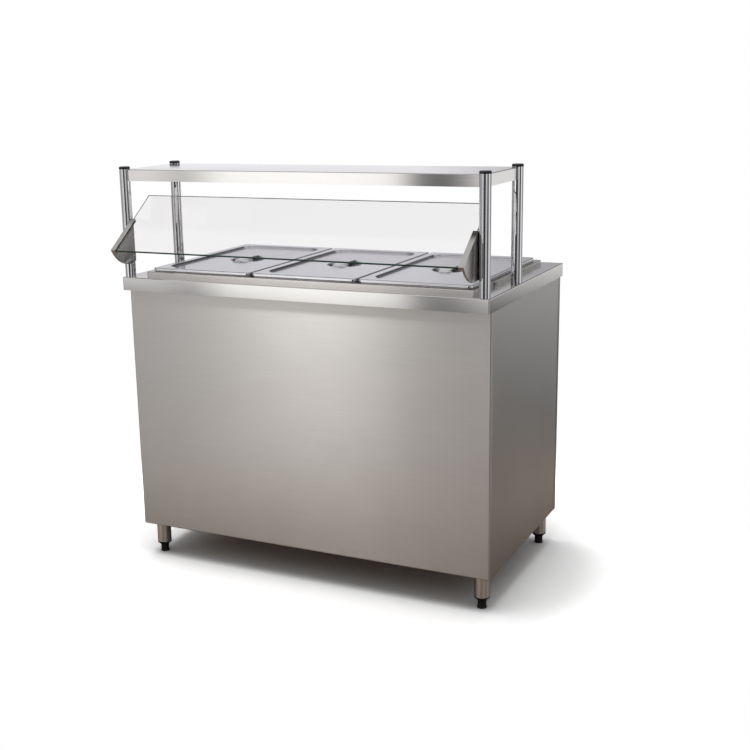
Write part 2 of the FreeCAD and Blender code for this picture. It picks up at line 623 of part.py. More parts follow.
def leg_bolt_spots(x, y):
    """The two bolts of a leg plate, on its inner sides."""
    in_x, in_y = inward(x, y)
    return [(x + in_x * BOLT_SPREAD, y), (x, y + in_y * BOLT_SPREAD)]


LEG_BOLTS = [spot for x, y in LEG_SPOTS for spot in leg_bolt_spots(x, y)]
floor_cuts = [rod(BOLT_HOLE, (x, y, FLOOR_UNDER - 1), (0, 0, 1), 4) for x, y in LEG_BOLTS]
notch_x = SIDE_X - SIDE_FLANGE - FIT_GAP
for sx in ENDS_X:
    near, far = sorted((sx * notch_x, sx * SIDE_X))
    floor_cuts.append(box(near, far, UPRIGHT_Y - PANEL_SHEET - FIT_GAP, REAR_Y, FLOOR_BOTTOM - 1, FLOOR_TOP + 1))
keep("cupboard_floor", joined([floor] + under).cut(Part.makeCompound(floor_cuts)))

# Cupboard ceiling under the tank, with a hole for the drain
ceiling = folded_box((-LINER_X, LINER_X, CEILING_FRONT, TRACK_FRONT - FIT_GAP, CEILING_Z - PANEL_SHEET,
                      CEILING_Z + CEILING_UPTURN), PANEL_SHEET, 2.4, (0, 1, 2, 3, 4))
drain_hole = rod(DRAIN_RADIUS + FIT_GAP, (DRAIN_X, DRAIN_Y, CEILING_Z - 4), (0, 0, 1), 8)
keep("cupboard_ceiling", ceiling.cut(drain_hole))

# Control fascia: top flange under the worktop, bottom flange out over the door track
fascia_path = [(FASCIA_Y - FASCIA_TOP_FLANGE, TOP_UNDER), (FASCIA_Y, TOP_UNDER),
               (FASCIA_Y, FASCIA_BOTTOM), (TRACK_REAR, FASCIA_BOTTOM)]
fascia = strip(fascia_path, PANEL_SHEET, 1.2, lambda a, b: V(-FOLD_X, a, b), -1).extrude(V(FOLD_X * 2, 0, 0))
fascia_cuts = [rod(SCREW_HOLE, (x, FASCIA_Y - 4, z), (0, 1, 0), 8) for x, z in fascia_spots]
fascia_cuts.append(rod(BUSH_RADIUS + 0.2, (THERMOSTAT_X, FASCIA_Y - 4, CONTROL_Z), (0, 1, 0), 8))
fascia_cuts.append(rod(LAMP_BODY_RADIUS + 0.2, (LAMP_X, FASCIA_Y - 4, CONTROL_Z), (0, 1, 0), 8))
fascia_cuts.append(rod(GLAND_RADIUS + 0.2, (GLAND_X, FASCIA_Y - 4, CONTROL_Z), (0, 1, 0), 8))
fascia_cuts.append(box(SWITCH_X - SWITCH_BODY_X - 0.2, SWITCH_X + SWITCH_BODY_X + 0.2, FASCIA_Y - 4, FASCIA_Y + 4,
                       CONTROL_Z - SWITCH_BODY_Z - 0.2, CONTROL_Z + SWITCH_BODY_Z + 0.2))
for sx in ENDS_X:
    near, far = sorted((sx * (JAMB_X - FIT_GAP), sx * SIDE_X))
    fascia_cuts.append(box(near, far, FASCIA_Y + FIT_GAP, REAR_Y, FASCIA_BOTTOM - 4, FASCIA_BOTTOM + 4))
    near, far = sorted((sx * (SIDE_X - SIDE_FLANGE - FIT_GAP), sx * SIDE_X))
    fascia_cuts.append(box(near, far, FASCIA_Y - FASCIA_TOP_FLANGE - 1, FASCIA_INNER, TOP_UNDER - 6, TOP_UNDER + 1))
keep("control_fascia", fascia.cut(Part.makeCompound(fascia_cuts)))

# Door tracks: finned sill and head
track_x = JAMB_X - FIT_GAP


def track(base_z, fin_tip, base_tip):
    """Finned track: a base strip with three fins."""
    low, high = sorted((base_z, base_tip))
    parts = [box(-track_x, track_x, TRACK_FRONT, TRACK_REAR, low, high)]
    for i in range(3):
        y = TRACK_FRONT + i * (TRACK_FIN + TRACK_SLOT)
        low, high = sorted((base_z, fin_tip))
        parts.append(box(-track_x, track_x, y, y + TRACK_FIN, low, high))
    return joined(parts)


keep("door_sill", track(FLOOR_TOP, FLOOR_TOP + SILL_FIN, FLOOR_TOP + TRACK_BASE))
keep("door_head", track(HEAD_TOP, HEAD_TOP - HEAD_FIN, HEAD_TOP - TRACK_BASE))

# Sliding doors with a pressed finger pull and nylon shoes
pull_z = (DOOR_BOTTOM + DOOR_TOP) / 2
for name, sx in SIDES:
    x0 = -JAMB_X + DOOR_SIDE_GAP if sx < 0 else JAMB_X - DOOR_SIDE_GAP - DOOR_WIDTH
    y0 = OUTER_DOOR_Y if sx < 0 else INNER_DOOR_Y
    x1, y1 = x0 + DOOR_WIDTH, y0 + DOOR_DEPTH
    door = folded_box((x0, x1, y0, y1, DOOR_BOTTOM, DOOR_TOP), DOOR_SHEET, 2.0, (0, 1, 3, 4, 5))
    pull_x = x0 + PULL_INSET if sx < 0 else x1 - PULL_INSET
    cup_path = [(3, 0), (0, 0), (-2, -PULL_DEPTH), (-9, -PULL_DEPTH)]
    cup = ring(cup_path, DOOR_SHEET, 1.2, PULL_WIDTH / 2, PULL_HEIGHT / 2, 14.0)
    cup.append(rounded(PULL_WIDTH / 2 - 9, PULL_HEIGHT / 2 - 9, 5.0, -PULL_DEPTH - DOOR_SHEET, -PULL_DEPTH))
    cup = at_y(joined(cup), pull_x, y1, pull_z)
    hole = at_y(rounded(PULL_WIDTH / 2 + 2, PULL_HEIGHT / 2 + 2, 16.0, -DOOR_SHEET - 1, 1), pull_x, y1, pull_z)
    keep("door_" + name, joined([door.cut(hole), cup]))
    shoes = []
    shoe_y0 = y0 - 0.3
    shoe_y1 = y1 + 0.3
    for x in (x0 + SHOE_INSET, x1 - SHOE_INSET):
        shoes.append(soft_box((x - SHOE_LENGTH / 2, x + SHOE_LENGTH / 2, shoe_y0, shoe_y1, SILL_BASE, DOOR_BOTTOM),
                              1.0, (0, 1, 2, 3)))
        shoes.append(soft_box((x - SHOE_LENGTH / 2, x + SHOE_LENGTH / 2, shoe_y0, shoe_y1, DOOR_TOP, DOOR_TOP + 3),
                              1.0, (0, 1, 2, 3)))
    keep("door_shoes_" + name, Part.makeCompound(shoes))

# Legs with welded top plates, black inserts and screw-in feet
inserts = []
plate_low = FLOOR_UNDER - LEG_PLATE_THICK
collar_low = LEG_BOTTOM - INSERT_COLLAR
shank_top = collar_low - INSERT_TAPER
plug_top = LEG_BOTTOM + INSERT_PLUG
for name, (x, y) in zip(LEG_NAMES, LEG_SPOTS):
    tube = rod(LEG_RADIUS, (x, y, LEG_BOTTOM), (0, 0, 1), plate_low - LEG_BOTTOM)
    tube = tube.cut(rod(LEG_RADIUS - LEG_WALL, (x, y, LEG_BOTTOM - 1), (0, 0, 1), plate_low - LEG_BOTTOM + 1))
    in_x, in_y = inward(x, y)
    plate_x = sorted((x - in_x * LEG_PLATE_OUT, x + in_x * LEG_PLATE_IN))
    plate_y = sorted((y - in_y * LEG_PLATE_OUT, y + in_y * LEG_PLATE_IN))
    plate = soft_box((*plate_x, *plate_y, plate_low, FLOOR_UNDER), 5.0, (0, 1, 2, 3))
    taps = [rod(BOLT_RADIUS + RUN_FIT, (bx, by, plate_low - 1), (0, 0, 1), 8) for bx, by in leg_bolt_spots(x, y)]
    keep("leg_" + name, joined([tube, plate]).cut(Part.makeCompound(taps)))
    plug = LEG_RADIUS - LEG_WALL - WELD_GAP
    inserts.append(turned([(STEM_RADIUS + RUN_FIT, shank_top + FIT_GAP), (FOOT_DIAMETER / 2 + 1.5, shank_top + FIT_GAP),
                           (LEG_RADIUS, collar_low), (LEG_RADIUS, LEG_BOTTOM), (plug, LEG_BOTTOM),
                           (plug, plug_top - INSERT_LEAD), (plug - INSERT_LEAD, plug_top),
                           (STEM_RADIUS + RUN_FIT, plug_top)],
                          (x, y, 0), (0, 0, 1)))
    keep("foot_" + name, turned([(0, 0), (FOOT_FLARE / 2 - 1, 0), (FOOT_FLARE / 2, 1), (FOOT_FLARE / 2, 3),
                                 (FOOT_DIAMETER / 2, 6), (FOOT_DIAMETER / 2, shank_top - 1),
                                 (FOOT_DIAMETER / 2 - 1, shank_top), (STEM_RADIUS, shank_top),
                                 (STEM_RADIUS, shank_top + STEM_REACH - 1), (STEM_RADIUS - 1, shank_top + STEM_REACH),
                                 (0, shank_top + STEM_REACH)], (x, y, 0), (0, 0, 1)))
keep("foot_inserts", Part.makeCompound(inserts))

# Gantry posts with a tapped plug welded in the foot, and black caps
caps = []
POST_NAMES = ("front_left", "rear_left", "front_right", "rear_right")
screw_heights = (TOP_HEIGHT + BRACKET_SCREW_LOW, TOP_HEIGHT + BRACKET_SCREW_HIGH)
cap_shoulder = [(CAP_RADIUS - CAP_ROUND * (1 - math.cos(math.radians(turn))),
                 POST_TOP + CAP_HEIGHT - CAP_ROUND * (1 - math.sin(math.radians(turn)))) for turn in (0, 30, 60, 90)]
for name, (x, y) in zip(POST_NAMES, POST_SPOTS):
    tube = rod(POST_RADIUS, (x, y, TOP_HEIGHT), (0, 0, 1), POST_TOP - TOP_HEIGHT)
    bore = rod(POST_RADIUS - POST_WALL, (x, y, TOP_HEIGHT + POST_PLUG), (0, 0, 1), POST_TOP - TOP_HEIGHT)
    tap = rod(BOLT_RADIUS + RUN_FIT, (x, y, TOP_HEIGHT - 1), (0, 0, 1), POST_PLUG + 2)
    cuts = [bore, tap]
    if y == POST_FRONT:
        cuts += [rod(SCREW_HOLE, (x, y, z), (math.copysign(1, -x), 0, 0), POST_RADIUS + 1) for z in screw_heights]
    keep("post_" + name, tube.cut(Part.makeCompound(cuts)))
    plug = POST_RADIUS - POST_WALL - WELD_GAP
    caps.append(turned([(0, POST_TOP - CAP_PLUG), (plug - 1, POST_TOP - CAP_PLUG), (plug, POST_TOP - CAP_PLUG + 2),
                        (plug, POST_TOP), (CAP_RADIUS, POST_TOP), *cap_shoulder, (0, POST_TOP + CAP_HEIGHT)],
                       (x, y, 0), (0, 0, 1)))
keep("post_caps", Part.makeCompound(caps))

# Overshelf: a tray turned down all round, its corners cut to the posts
shelf_box = (-POST_X - SHELF_PROUD, POST_X + SHELF_PROUD, POST_FRONT - SHELF_PROUD, POST_REAR + SHELF_PROUD,
             SHELF_BOTTOM, SHELF_TOP)
shelf = folded_box(shelf_box, SHELF_SHEET, SHELF_BEND, (0, 1, 2, 3, 5))
lip_outer = box(shelf_box[0] + 0.6, shelf_box[1] - 0.6, shelf_box[2] + 0.6, shelf_box[3] - 0.6,
                SHELF_BOTTOM, SHELF_BOTTOM + SHELF_SHEET)
lip_inner = box(shelf_box[0] + SHELF_LIP, shelf_box[1] - SHELF_LIP, shelf_box[2] + SHELF_LIP, shelf_box[3] - SHELF_LIP,
                SHELF_BOTTOM - 1, SHELF_BOTTOM + SHELF_SHEET + 1)
post_cuts = [rod(POST_RADIUS + WELD_GAP, (x, y, SHELF_BOTTOM - 1), (0, 0, 1), SHELF_EDGE + 2) for x, y in POST_SPOTS]
shelf = joined([shelf, lip_outer.cut(lip_inner)]).cut(Part.makeCompound(post_cuts))
cap_room = [rod(CAP_RADIUS + WELD_GAP, (x, y, SHELF_TOP - SHELF_BEND), (0, 0, 1), SHELF_BEND + 1) for x, y in POST_SPOTS]
keep("overshelf", shelf.cut(Part.makeCompound(cap_room)))

# Sneeze glass, sloping up from the customer's side
slope = FreeCAD.Placement(V(0, GLASS_Y, GLASS_Z), FreeCAD.Rotation(V(1, 0, 0), GLASS_TILT))


def sloped(x0, x1, v0, v1, w0, w1):
    """Block drawn in the glass's own plane: along, up the slope and through it."""
    block = box(x0, x1, v0, v1, w0, w1)
    block.Placement = slope
    return block


glass = box(-GLASS_HALF, GLASS_HALF, 0, GLASS_LENGTH, 0, GLASS_THICK)
glass = glass.makeChamfer(GLASS_ARRIS, [e for e in glass.Edges if abs(e.Length - GLASS_THICK) > 1])
glass.Placement = slope
keep("sneeze_glass", glass)

# Folded glass brackets: a gusset with an arched foot, a channel for the glass and a turned rim
flange_in = GUSSET_INNER - BRACKET_FLANGE
lower = -SEAL - BRACKET_SHEET
upper = GLASS_THICK + SEAL
channel = [sloped(GUSSET_INNER - 0.01, GUSSET_OUTER, lower, CHANNEL_LENGTH, lower, upper + BRACKET_SHEET),
           sloped(flange_in, GUSSET_INNER, lower, CHANNEL_LENGTH, lower, -SEAL),
           sloped(flange_in, GUSSET_INNER, lower, CHANNEL_LENGTH, upper, upper + BRACKET_SHEET),
           sloped(flange_in, GUSSET_INNER, lower, -SEAL, lower, upper + BRACKET_SHEET)]
tilt = math.radians(GLASS_TILT)
tip = slope.multVec(V(0, lower, lower))
back_y = POST_FRONT + GUSSET_BACK
back_high = tip.z + (back_y - tip.y) * math.tan(tilt)
back_low = TOP_HEIGHT + GUSSET_DROP
arch = Part.Arc(V(GUSSET_INNER, back_y, back_low), V(GUSSET_INNER, GUSSET_LOW_Y, GUSSET_LOW_Z),
                V(GUSSET_INNER, tip.y, tip.z))
gusset_edges = [Part.makeLine(V(GUSSET_INNER, tip.y, tip.z), V(GUSSET_INNER, back_y, back_high)),
                Part.makeLine(V(GUSSET_INNER, back_y, back_high), V(GUSSET_INNER, back_y, back_low)), arch.toShape()]
gusset_face = Part.Face(Part.Wire(gusset_edges))
gusset = gusset_face.extrude(V(BRACKET_SHEET, 0, 0))
circle = Part.Circle(V(GUSSET_INNER, back_y, back_low), V(GUSSET_INNER, GUSSET_LOW_Y, GUSSET_LOW_Z),
                     V(GUSSET_INNER, tip.y, tip.z))
clear = Part.makeCylinder(circle.Radius - BRACKET_SHEET, BRACKET_RIM + 2,
                          V(GUSSET_INNER - BRACKET_RIM - 1, circle.Center.y, circle.Center.z), V(1, 0, 0))
rim = gusset_face.extrude(V(-BRACKET_RIM, 0, 0)).cut(clear)
rim_room = box(GUSSET_INNER - BRACKET_RIM - 1, GUSSET_INNER, POST_FRONT - 9, back_y + 1, back_low - 20, back_low + 40)
bracket = joined(channel + [gusset, rim.cut(rim_room)])
screw_bores = [rod(SCREW_HOLE, (GUSSET_INNER - 1, POST_FRONT, z), (1, 0, 0), BRACKET_SHEET + 2) for z in screw_heights]
bracket = bracket.cut(Part.makeCompound(screw_bores))
seal = sloped(flange_in + 0.5, GUSSET_INNER - 0.05, -SEAL, CHANNEL_LENGTH - 3, -SEAL, upper)
seal = seal.cut(sloped(-GLASS_HALF, GLASS_HALF, 0, GLASS_LENGTH, 0, GLASS_THICK))
keep("glass_bracket_right", bracket)
keep("glass_bracket_left", mirrored(bracket))
keep("glass_seals", Part.makeCompound([mirrored(seal), seal]))

# Fasteners
bolts = [bolt((x, y, TOP_UNDER), (0, 0, 1)) for x, y in POST_SPOTS]
bolts += [bolt((x, y, FLOOR_TOP), (0, 0, -1)) for x, y in LEG_BOLTS]
keep("frame_bolts", Part.makeCompound(bolts))
screws = [screw((sx * GUSSET_INNER, POST_FRONT, z), (sx, 0, 0)) for sx in ENDS_X for z in screw_heights]
screws += [screw((x, FASCIA_Y, z), (0, -1, 0)) for x, z in fascia_spots]
keep("panel_screws", Part.makeCompound(screws))

# Gastronorm pans, drawn from sheet
pan_half_x = PAN_WIDTH / 2
pan_half_y = PAN_LENGTH / 2
body_x = pan_half_x - PAN_RIM_BAND
body_y = pan_half_y - PAN_RIM_BAND
pan_floor = PAN_TOP - PAN_DEPTH
pan_path = [(8, PAN_TOP), (0, PAN_TOP), (-PAN_DRAFT, pan_floor), (-PAN_DRAFT - PAN_FLOOR_REACH, pan_floor)]
pan_parts = ring(pan_path, PAN_SHEET, PAN_RIM_BEND, body_x, body_y, PAN_BODY_CORNER, 0, PAN_MID_Y)
reach = PAN_DRAFT + PAN_FLOOR_REACH
pan_parts.append(rounded(body_x - reach, body_y - reach, PAN_BODY_CORNER - reach, pan_floor - PAN_SHEET, pan_floor,
                         0, PAN_MID_Y))
rim_path = [(0, FRAME_TOP), (0, PAN_TOP - PAN_SHEET / 2)]
pan_parts += ring(rim_path, PAN_SHEET, 0.8, pan_half_x - PAN_RIM_TUCK, pan_half_y - PAN_RIM_TUCK,
                  PAN_CORNER - PAN_RIM_TUCK, 0, PAN_MID_Y)
rim_plate = rounded(pan_half_x, pan_half_y, PAN_CORNER, PAN_TOP - PAN_SHEET, PAN_TOP, 0, PAN_MID_Y)
rim_hole = rounded(body_x + 8, body_y + 8, PAN_BODY_CORNER + 8, PAN_TOP - 4, PAN_TOP + 4, 0, PAN_MID_Y)
pan_parts.append(rim_plate.cut(rim_hole))
pan = joined(pan_parts)

# Lids: turned-down edge, flat rim, sunken panel and finger dish
edge_path = [(0, PAN_TOP), (0, LID_TOP), (-8, LID_TOP)]
lid_parts = ring(edge_path, LID_SHEET, LID_EDGE_BEND, pan_half_x, pan_half_y, PAN_CORNER, 0, PAN_MID_Y)
sunk_x = pan_half_x - LID_RIM_BAND
sunk_y = pan_half_y - LID_RIM_BAND
lid_plate = rounded(pan_half_x - 8, pan_half_y - 8, PAN_CORNER - 8, LID_TOP - LID_SHEET, LID_TOP, 0, PAN_MID_Y)
lid_hole = rounded(sunk_x + 4, sunk_y + 4, LID_CORNER + 4, LID_TOP - 4, LID_TOP + 4, 0, PAN_MID_Y)
lid_parts.append(lid_plate.cut(lid_hole))
sunk_path = [(4, LID_TOP), (0, LID_TOP), (-LID_WALL_RUN, LID_PANEL), (-LID_FLOOR_REACH, LID_PANEL)]
lid_parts += ring(sunk_path, LID_SHEET, 2.0, sunk_x, sunk_y, LID_CORNER, 0, PAN_MID_Y)
panel = rounded(sunk_x - LID_FLOOR_REACH, sunk_y - LID_FLOOR_REACH, LID_CORNER - LID_FLOOR_REACH,
                LID_PANEL - LID_SHEET, LID_PANEL, 0, PAN_MID_Y)
lid_parts.append(panel.cut(rod(DISH_RADIUS + 5, (0, PAN_MID_Y, LID_PANEL - 4), (0, 0, 1), 8)))
dish_path = [(DISH_RADIUS + 5, LID_PANEL), (DISH_RADIUS, LID_PANEL),
             (DISH_RADIUS - DISH_WALL_RUN, LID_PANEL - DISH_DEPTH), (0, LID_PANEL - DISH_DEPTH)]
dish = strip(dish_path, LID_SHEET, 3.0, lambda a, b: V(a, PAN_MID_Y, b))
lid_parts.append(dish.revolve(V(0, PAN_MID_Y, 0), V(0, 0, 1), 360))
lid = joined(lid_parts)

# Strap handles across the dishes
strap_end = DISH_RADIUS + STRAP_FOOT
strap_path = [(-strap_end, LID_PANEL), (-DISH_RADIUS - 1, LID_PANEL),
              (-DISH_RADIUS - 1 + STRAP_SLOPE, LID_PANEL + STRAP_RISE),
              (DISH_RADIUS + 1 - STRAP_SLOPE, LID_PANEL + STRAP_RISE),
              (DISH_RADIUS + 1, LID_PANEL), (strap_end, LID_PANEL)]
strap = strip(strap_path, STRAP_SHEET, 4.0, lambda a, b: V(-STRAP_WIDTH / 2, PAN_MID_Y + a, b))
strap = strap.extrude(V(STRAP_WIDTH, 0, 0))
for name, x in zip(PAN_NAMES, PAN_XS):
    keep("pan_" + name, pan.translated(V(x, 0, 0)))
    keep("lid_" + name, lid.translated(V(x, 0, 0)))
    keep("lid_handle_" + name, strap.translated(V(x, 0, 0)))

# Thermostat behind the fascia, with its spindle and knob
half_t = THERMOSTAT_SIDE / 2
body = soft_box((THERMOSTAT_X - half_t, THERMOSTAT_X + half_t, FASCIA_INNER - THERMOSTAT_DEPTH, FASCIA_INNER,
                 CONTROL_Z - half_t, CONTROL_Z + half_t), 3.0, (0, 1, 4, 5))
body = body.cut(box(THERMOSTAT_X - half_t - 1, THERMOSTAT_X + half_t + 1, FASCIA_INNER - 0.2, FASCIA_INNER + 1,
                    CONTROL_Z - half_t - 1, CONTROL_Z + half_t + 1))
bush = rod(BUSH_RADIUS, (THERMOSTAT_X, FASCIA_INNER - 2, CONTROL_Z), (0, 1, 0), PANEL_SHEET + BUSH_PROUD + 2)
spindle_hole = rod(SPINDLE_RADIUS + RUN_FIT, (THERMOSTAT_X, FASCIA_INNER - 12, CONTROL_Z), (0, 1, 0), 24)
keep("thermostat_body", joined([body, bush]).cut(spindle_hole))
skirt = turned([(0, 0), (KNOB_RADIUS, 0), (KNOB_RADIUS, KNOB_SKIRT - 1.5), (KNOB_RADIUS - 1.5, KNOB_SKIRT),
                (KNOB_RADIUS - 6, KNOB_SKIRT + 2.5), (0, KNOB_SKIRT + 2.5)], (0, 0, 0), (0, 0, 1))
grip = soft_box((-KNOB_GRIP / 2, KNOB_GRIP / 2, -KNOB_RADIUS + 3, KNOB_RADIUS - 1.5, KNOB_SKIRT - 1, KNOB_HEIGHT),
                2.5, (0, 1, 2, 3, 5))
pointer = box(-0.7, 0.7, KNOB_RADIUS - 12, KNOB_RADIUS - 2.5, KNOB_HEIGHT - 0.6, KNOB_HEIGHT + 1)
hollow = turned([(BUSH_RADIUS + 2, -1), (KNOB_RADIUS - 2, -1), (KNOB_RADIUS - 3, KNOB_SKIRT - 2),
                 (BUSH_RADIUS + 2, KNOB_SKIRT - 2)], (0, 0, 0), (0, 0, 1))
bush_room = rod(BUSH_RADIUS + 0.8, (0, 0, -1), (0, 0, 1), 2.5)
spindle = rod(SPINDLE_RADIUS, (0, 0, -KNOB_LIFT - PANEL_SHEET - SPINDLE_REACH), (0, 0, 1),
              KNOB_LIFT + PANEL_SHEET + SPINDLE_REACH + KNOB_SKIRT)
knob = joined([skirt, grip]).cut(Part.makeCompound([pointer, hollow, bush_room]))
knob = joined([knob, spindle])
knob.rotate(V(0, 0, 0), V(0, 0, 1), 180)
keep("thermostat_knob", at_y(knob, THERMOSTAT_X, FASCIA_Y + KNOB_LIFT, CONTROL_Z))

# Rocker switch
pivot_y = FASCIA_Y + 0.6
housing = joined([
    soft_box((SWITCH_X - SWITCH_BEZEL_X, SWITCH_X + SWITCH_BEZEL_X, FASCIA_Y, FASCIA_Y + SWITCH_BEZEL,
              CONTROL_Z - SWITCH_BEZEL_Z, CONTROL_Z + SWITCH_BEZEL_Z), 1.0, (0, 1, 3, 4, 5)),
    box(SWITCH_X - SWITCH_BODY_X, SWITCH_X + SWITCH_BODY_X, FASCIA_Y - SWITCH_BODY_DEPTH, FASCIA_Y + 0.5,
        CONTROL_Z - SWITCH_BODY_Z, CONTROL_Z + SWITCH_BODY_Z)])
rocker_room = ROCKER_RADIUS + 0.4
room_x = ROCKER_HALF + 0.4
housing = housing.cut(rod(rocker_room, (SWITCH_X - room_x, pivot_y, CONTROL_Z), (1, 0, 0), room_x * 2))
housing = housing.cut(box(SWITCH_X - room_x, SWITCH_X + room_x, pivot_y, pivot_y + 20,
                          CONTROL_Z - rocker_room, CONTROL_Z + rocker_room))
keep("switch_housing", housing)
rocker = rod(ROCKER_RADIUS, (SWITCH_X - ROCKER_HALF, pivot_y, CONTROL_Z), (1, 0, 0), ROCKER_HALF * 2)
rise = 20 * math.tan(math.radians(ROCKER_TILT))
vee = Part.makePolygon([V(SWITCH_X - 20, pivot_y + ROCKER_CREST, CONTROL_Z),
                        V(SWITCH_X - 20, pivot_y + ROCKER_CREST + rise, CONTROL_Z + 20),
                        V(SWITCH_X - 20, pivot_y + 40, CONTROL_Z + 20), V(SWITCH_X - 20, pivot_y + 40, CONTROL_Z - 20),
                        V(SWITCH_X - 20, pivot_y + ROCKER_CREST + rise, CONTROL_Z - 20),
                        V(SWITCH_X - 20, pivot_y + ROCKER_CREST, CONTROL_Z)])
rocker = rocker.cut(Part.Face(vee).extrude(V(40, 0, 0)))
rocker.rotate(V(SWITCH_X, pivot_y, CONTROL_Z), V(1, 0, 0), ROCKER_TILT)
keep("switch_rocker", rocker)

# Indicator lamp and cable gland
bezel = turned([(LAMP_LENS_RADIUS - 1.2, -LAMP_BODY_DEPTH), (LAMP_BODY_RADIUS, -LAMP_BODY_DEPTH), (LAMP_BODY_RADIUS, 0),
                (LAMP_BEZEL_RADIUS, 0), (LAMP_BEZEL_RADIUS, 1.2), (LAMP_BEZEL_RADIUS - 1, 2),
                (LAMP_LENS_RADIUS, 2), (LAMP_LENS_RADIUS, 0.5), (LAMP_LENS_RADIUS - 1.2, 0.5)], (0, 0, 0), (0, 0, 1))
keep("lamp_bezel", at_y(bezel, LAMP_X, FASCIA_Y, CONTROL_Z))
dome = [(LAMP_LENS_RADIUS * math.cos(math.pi / 12 * i), 2 + 3.2 * math.sin(math.pi / 12 * i)) for i in range(6)]
lens = turned([(0, 0.5), (LAMP_LENS_RADIUS, 0.5)] + dome + [(0, 5.2)], (0, 0, 0), (0, 0, 1))
keep("lamp_lens", at_y(lens, LAMP_X, FASCIA_Y, CONTROL_Z))
nut = hexagon(GLAND_FLATS, (0, 0, 0), (0, 0, 1), 6)
inner_nut = hexagon(GLAND_FLATS - 2, (0, 0, -PANEL_SHEET - 5), (0, 0, 1), 5)
gland_low = -PANEL_SHEET - GLAND_TAIL
barrel = turned([(0, gland_low), (GLAND_RADIUS, gland_low), (GLAND_RADIUS, 6), (GLAND_RADIUS + 2, 6.4),
                 (GLAND_RADIUS + 2, GLAND_REACH - 4.5), (GLAND_RADIUS + 1, GLAND_REACH - 2),
                 (GLAND_RADIUS - 2, GLAND_REACH), (0, GLAND_REACH)], (0, 0, 0), (0, 0, 1))
gland = joined([nut, inner_nut, barrel]).cut(rod(GLAND_BORE, (0, 0, gland_low - 1), (0, 0, 1), GLAND_REACH - gland_low + 2))
keep("cable_gland", at_y(gland, GLAND_X, FASCIA_Y, CONTROL_Z))

# The origin is on the floor under the middle of the whole counter
front_most = min(NODES[name].BoundBox.YMin for name in ("sneeze_glass", "glass_bracket_left", "glass_bracket_right"))
middle_y = (front_most + TOP_DEPTH) / 2
for name, shape in NODES.items():
    placed = shape.translated(V(0, -middle_y, 0))
    placed.exportStep("parts/" + name + ".step")
print("middle_y", round(middle_y, 4), "nodes", len(NODES))
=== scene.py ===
"""Finishes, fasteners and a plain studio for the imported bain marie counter."""
import json
import math

import bmesh
import bpy
from mathutils import Matrix, Vector


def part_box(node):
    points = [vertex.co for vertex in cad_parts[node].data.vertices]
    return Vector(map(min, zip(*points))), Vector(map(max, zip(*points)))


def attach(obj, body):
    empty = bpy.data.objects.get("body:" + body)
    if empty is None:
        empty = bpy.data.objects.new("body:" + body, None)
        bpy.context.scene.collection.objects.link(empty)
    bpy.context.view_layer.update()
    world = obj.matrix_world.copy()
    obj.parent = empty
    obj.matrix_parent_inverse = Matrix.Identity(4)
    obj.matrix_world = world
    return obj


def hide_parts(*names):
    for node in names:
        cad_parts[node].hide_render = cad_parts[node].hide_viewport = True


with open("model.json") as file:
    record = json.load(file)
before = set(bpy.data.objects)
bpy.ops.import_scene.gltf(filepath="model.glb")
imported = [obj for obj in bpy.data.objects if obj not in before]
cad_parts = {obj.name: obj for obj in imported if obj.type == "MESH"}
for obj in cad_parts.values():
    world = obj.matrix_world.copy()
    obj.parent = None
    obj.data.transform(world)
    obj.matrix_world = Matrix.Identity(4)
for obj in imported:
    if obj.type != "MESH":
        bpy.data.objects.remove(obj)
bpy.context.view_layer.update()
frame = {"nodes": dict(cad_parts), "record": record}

bl_info = {
    "name": "Bain marie counter",
    "version": (1, 0, 0),
    "blender": (4, 5, 0),
    "location": "3D View > Sidebar > Counter",
    "description": "Dresses the packed counter with its finishes, fasteners, dial and a plain studio",
    "category": "Object",
}

MM = 0.001
MERGE = 0.00001
X, Y, Z = range(3)
NODE_BODY = {name: body for body, names in frame["record"]["behaviour"]["bodies"].items() for name in names}
CORNERS = ("front_left", "rear_left", "front_right", "rear_right")
PANS = ("left", "centre", "right")
SIDES = ("left", "right")

# Angles in degrees above which an edge stays sharp, and the weight of large faces in the shading
CREASE = 34.0
GLASS_CREASE = 20.0
FASTENER_CREASE = 28.0
SHEET_WEIGHT = 80

# Least cosines between a face and the way it is asked to look
TO_SERVER = 0.5
SHEET_FACE = 0.9
ONE_PLANE = 0.999

# Lids, drain lever and controls
LID_EDGE = 4 * MM
LID_AIR = 2 * MM
DISH_REACH = 40 * MM
GRIP_LENGTH = 58 * MM
INK = 0.06 * MM
PRINT_MERGE = 0.003 * MM
ROCKER_SIGN = 5 * MM
ROCKER_TILT = 0.1
DIAL_SWEEP = 270
DIAL_STEPS = 20
DIAL_FIGURES = ("0", "30", "50", "70", "90")
FIGURE_REACH = 1.25
TICK_WIDTH = 0.6 * MM
TICK_LENGTH = 2.6 * MM
POINTER_LINE = Vector((1.2 * MM, 0.45 * MM, 9.3 * MM))
POINTER_START = Vector((-0.6 * MM, -0.6 * MM, 10.1 * MM))

# Fasteners, in millimetres; the crown is the share of the head's radius and the height there
SCREW_LENGTH = 12.0
SCREW_SHANK = 2.5
SCREW_TIP = 1.9
SCREW_CHAMFER = 0.8
SCREW_RIM = 0.9
SCREW_CROWN = ((0.97, 1.5), (0.87, 2.2), (0.68, 2.7), (0.4, 2.94))
SCREW_HEIGHT = 3.0
CROSS_SPAN = 5.0
CROSS_WIDTH = 0.9
CROSS_FLOOR = 1.5
CROSS_TOP = 4.0
BOLT_LENGTH = 12.5
BOLT_SHANK = 4.0
BOLT_TIP = 3.4
BOLT_CHAMFER = 0.7
BOLT_EDGE = 0.3
BOLT_INSET = 0.4
BOLT_HEIGHT = 5.3
WASHER_FACE = 0.3
WASHER_INSET = 0.5
HEX_SLOPE = 0.577
SPIN_SEED = 11
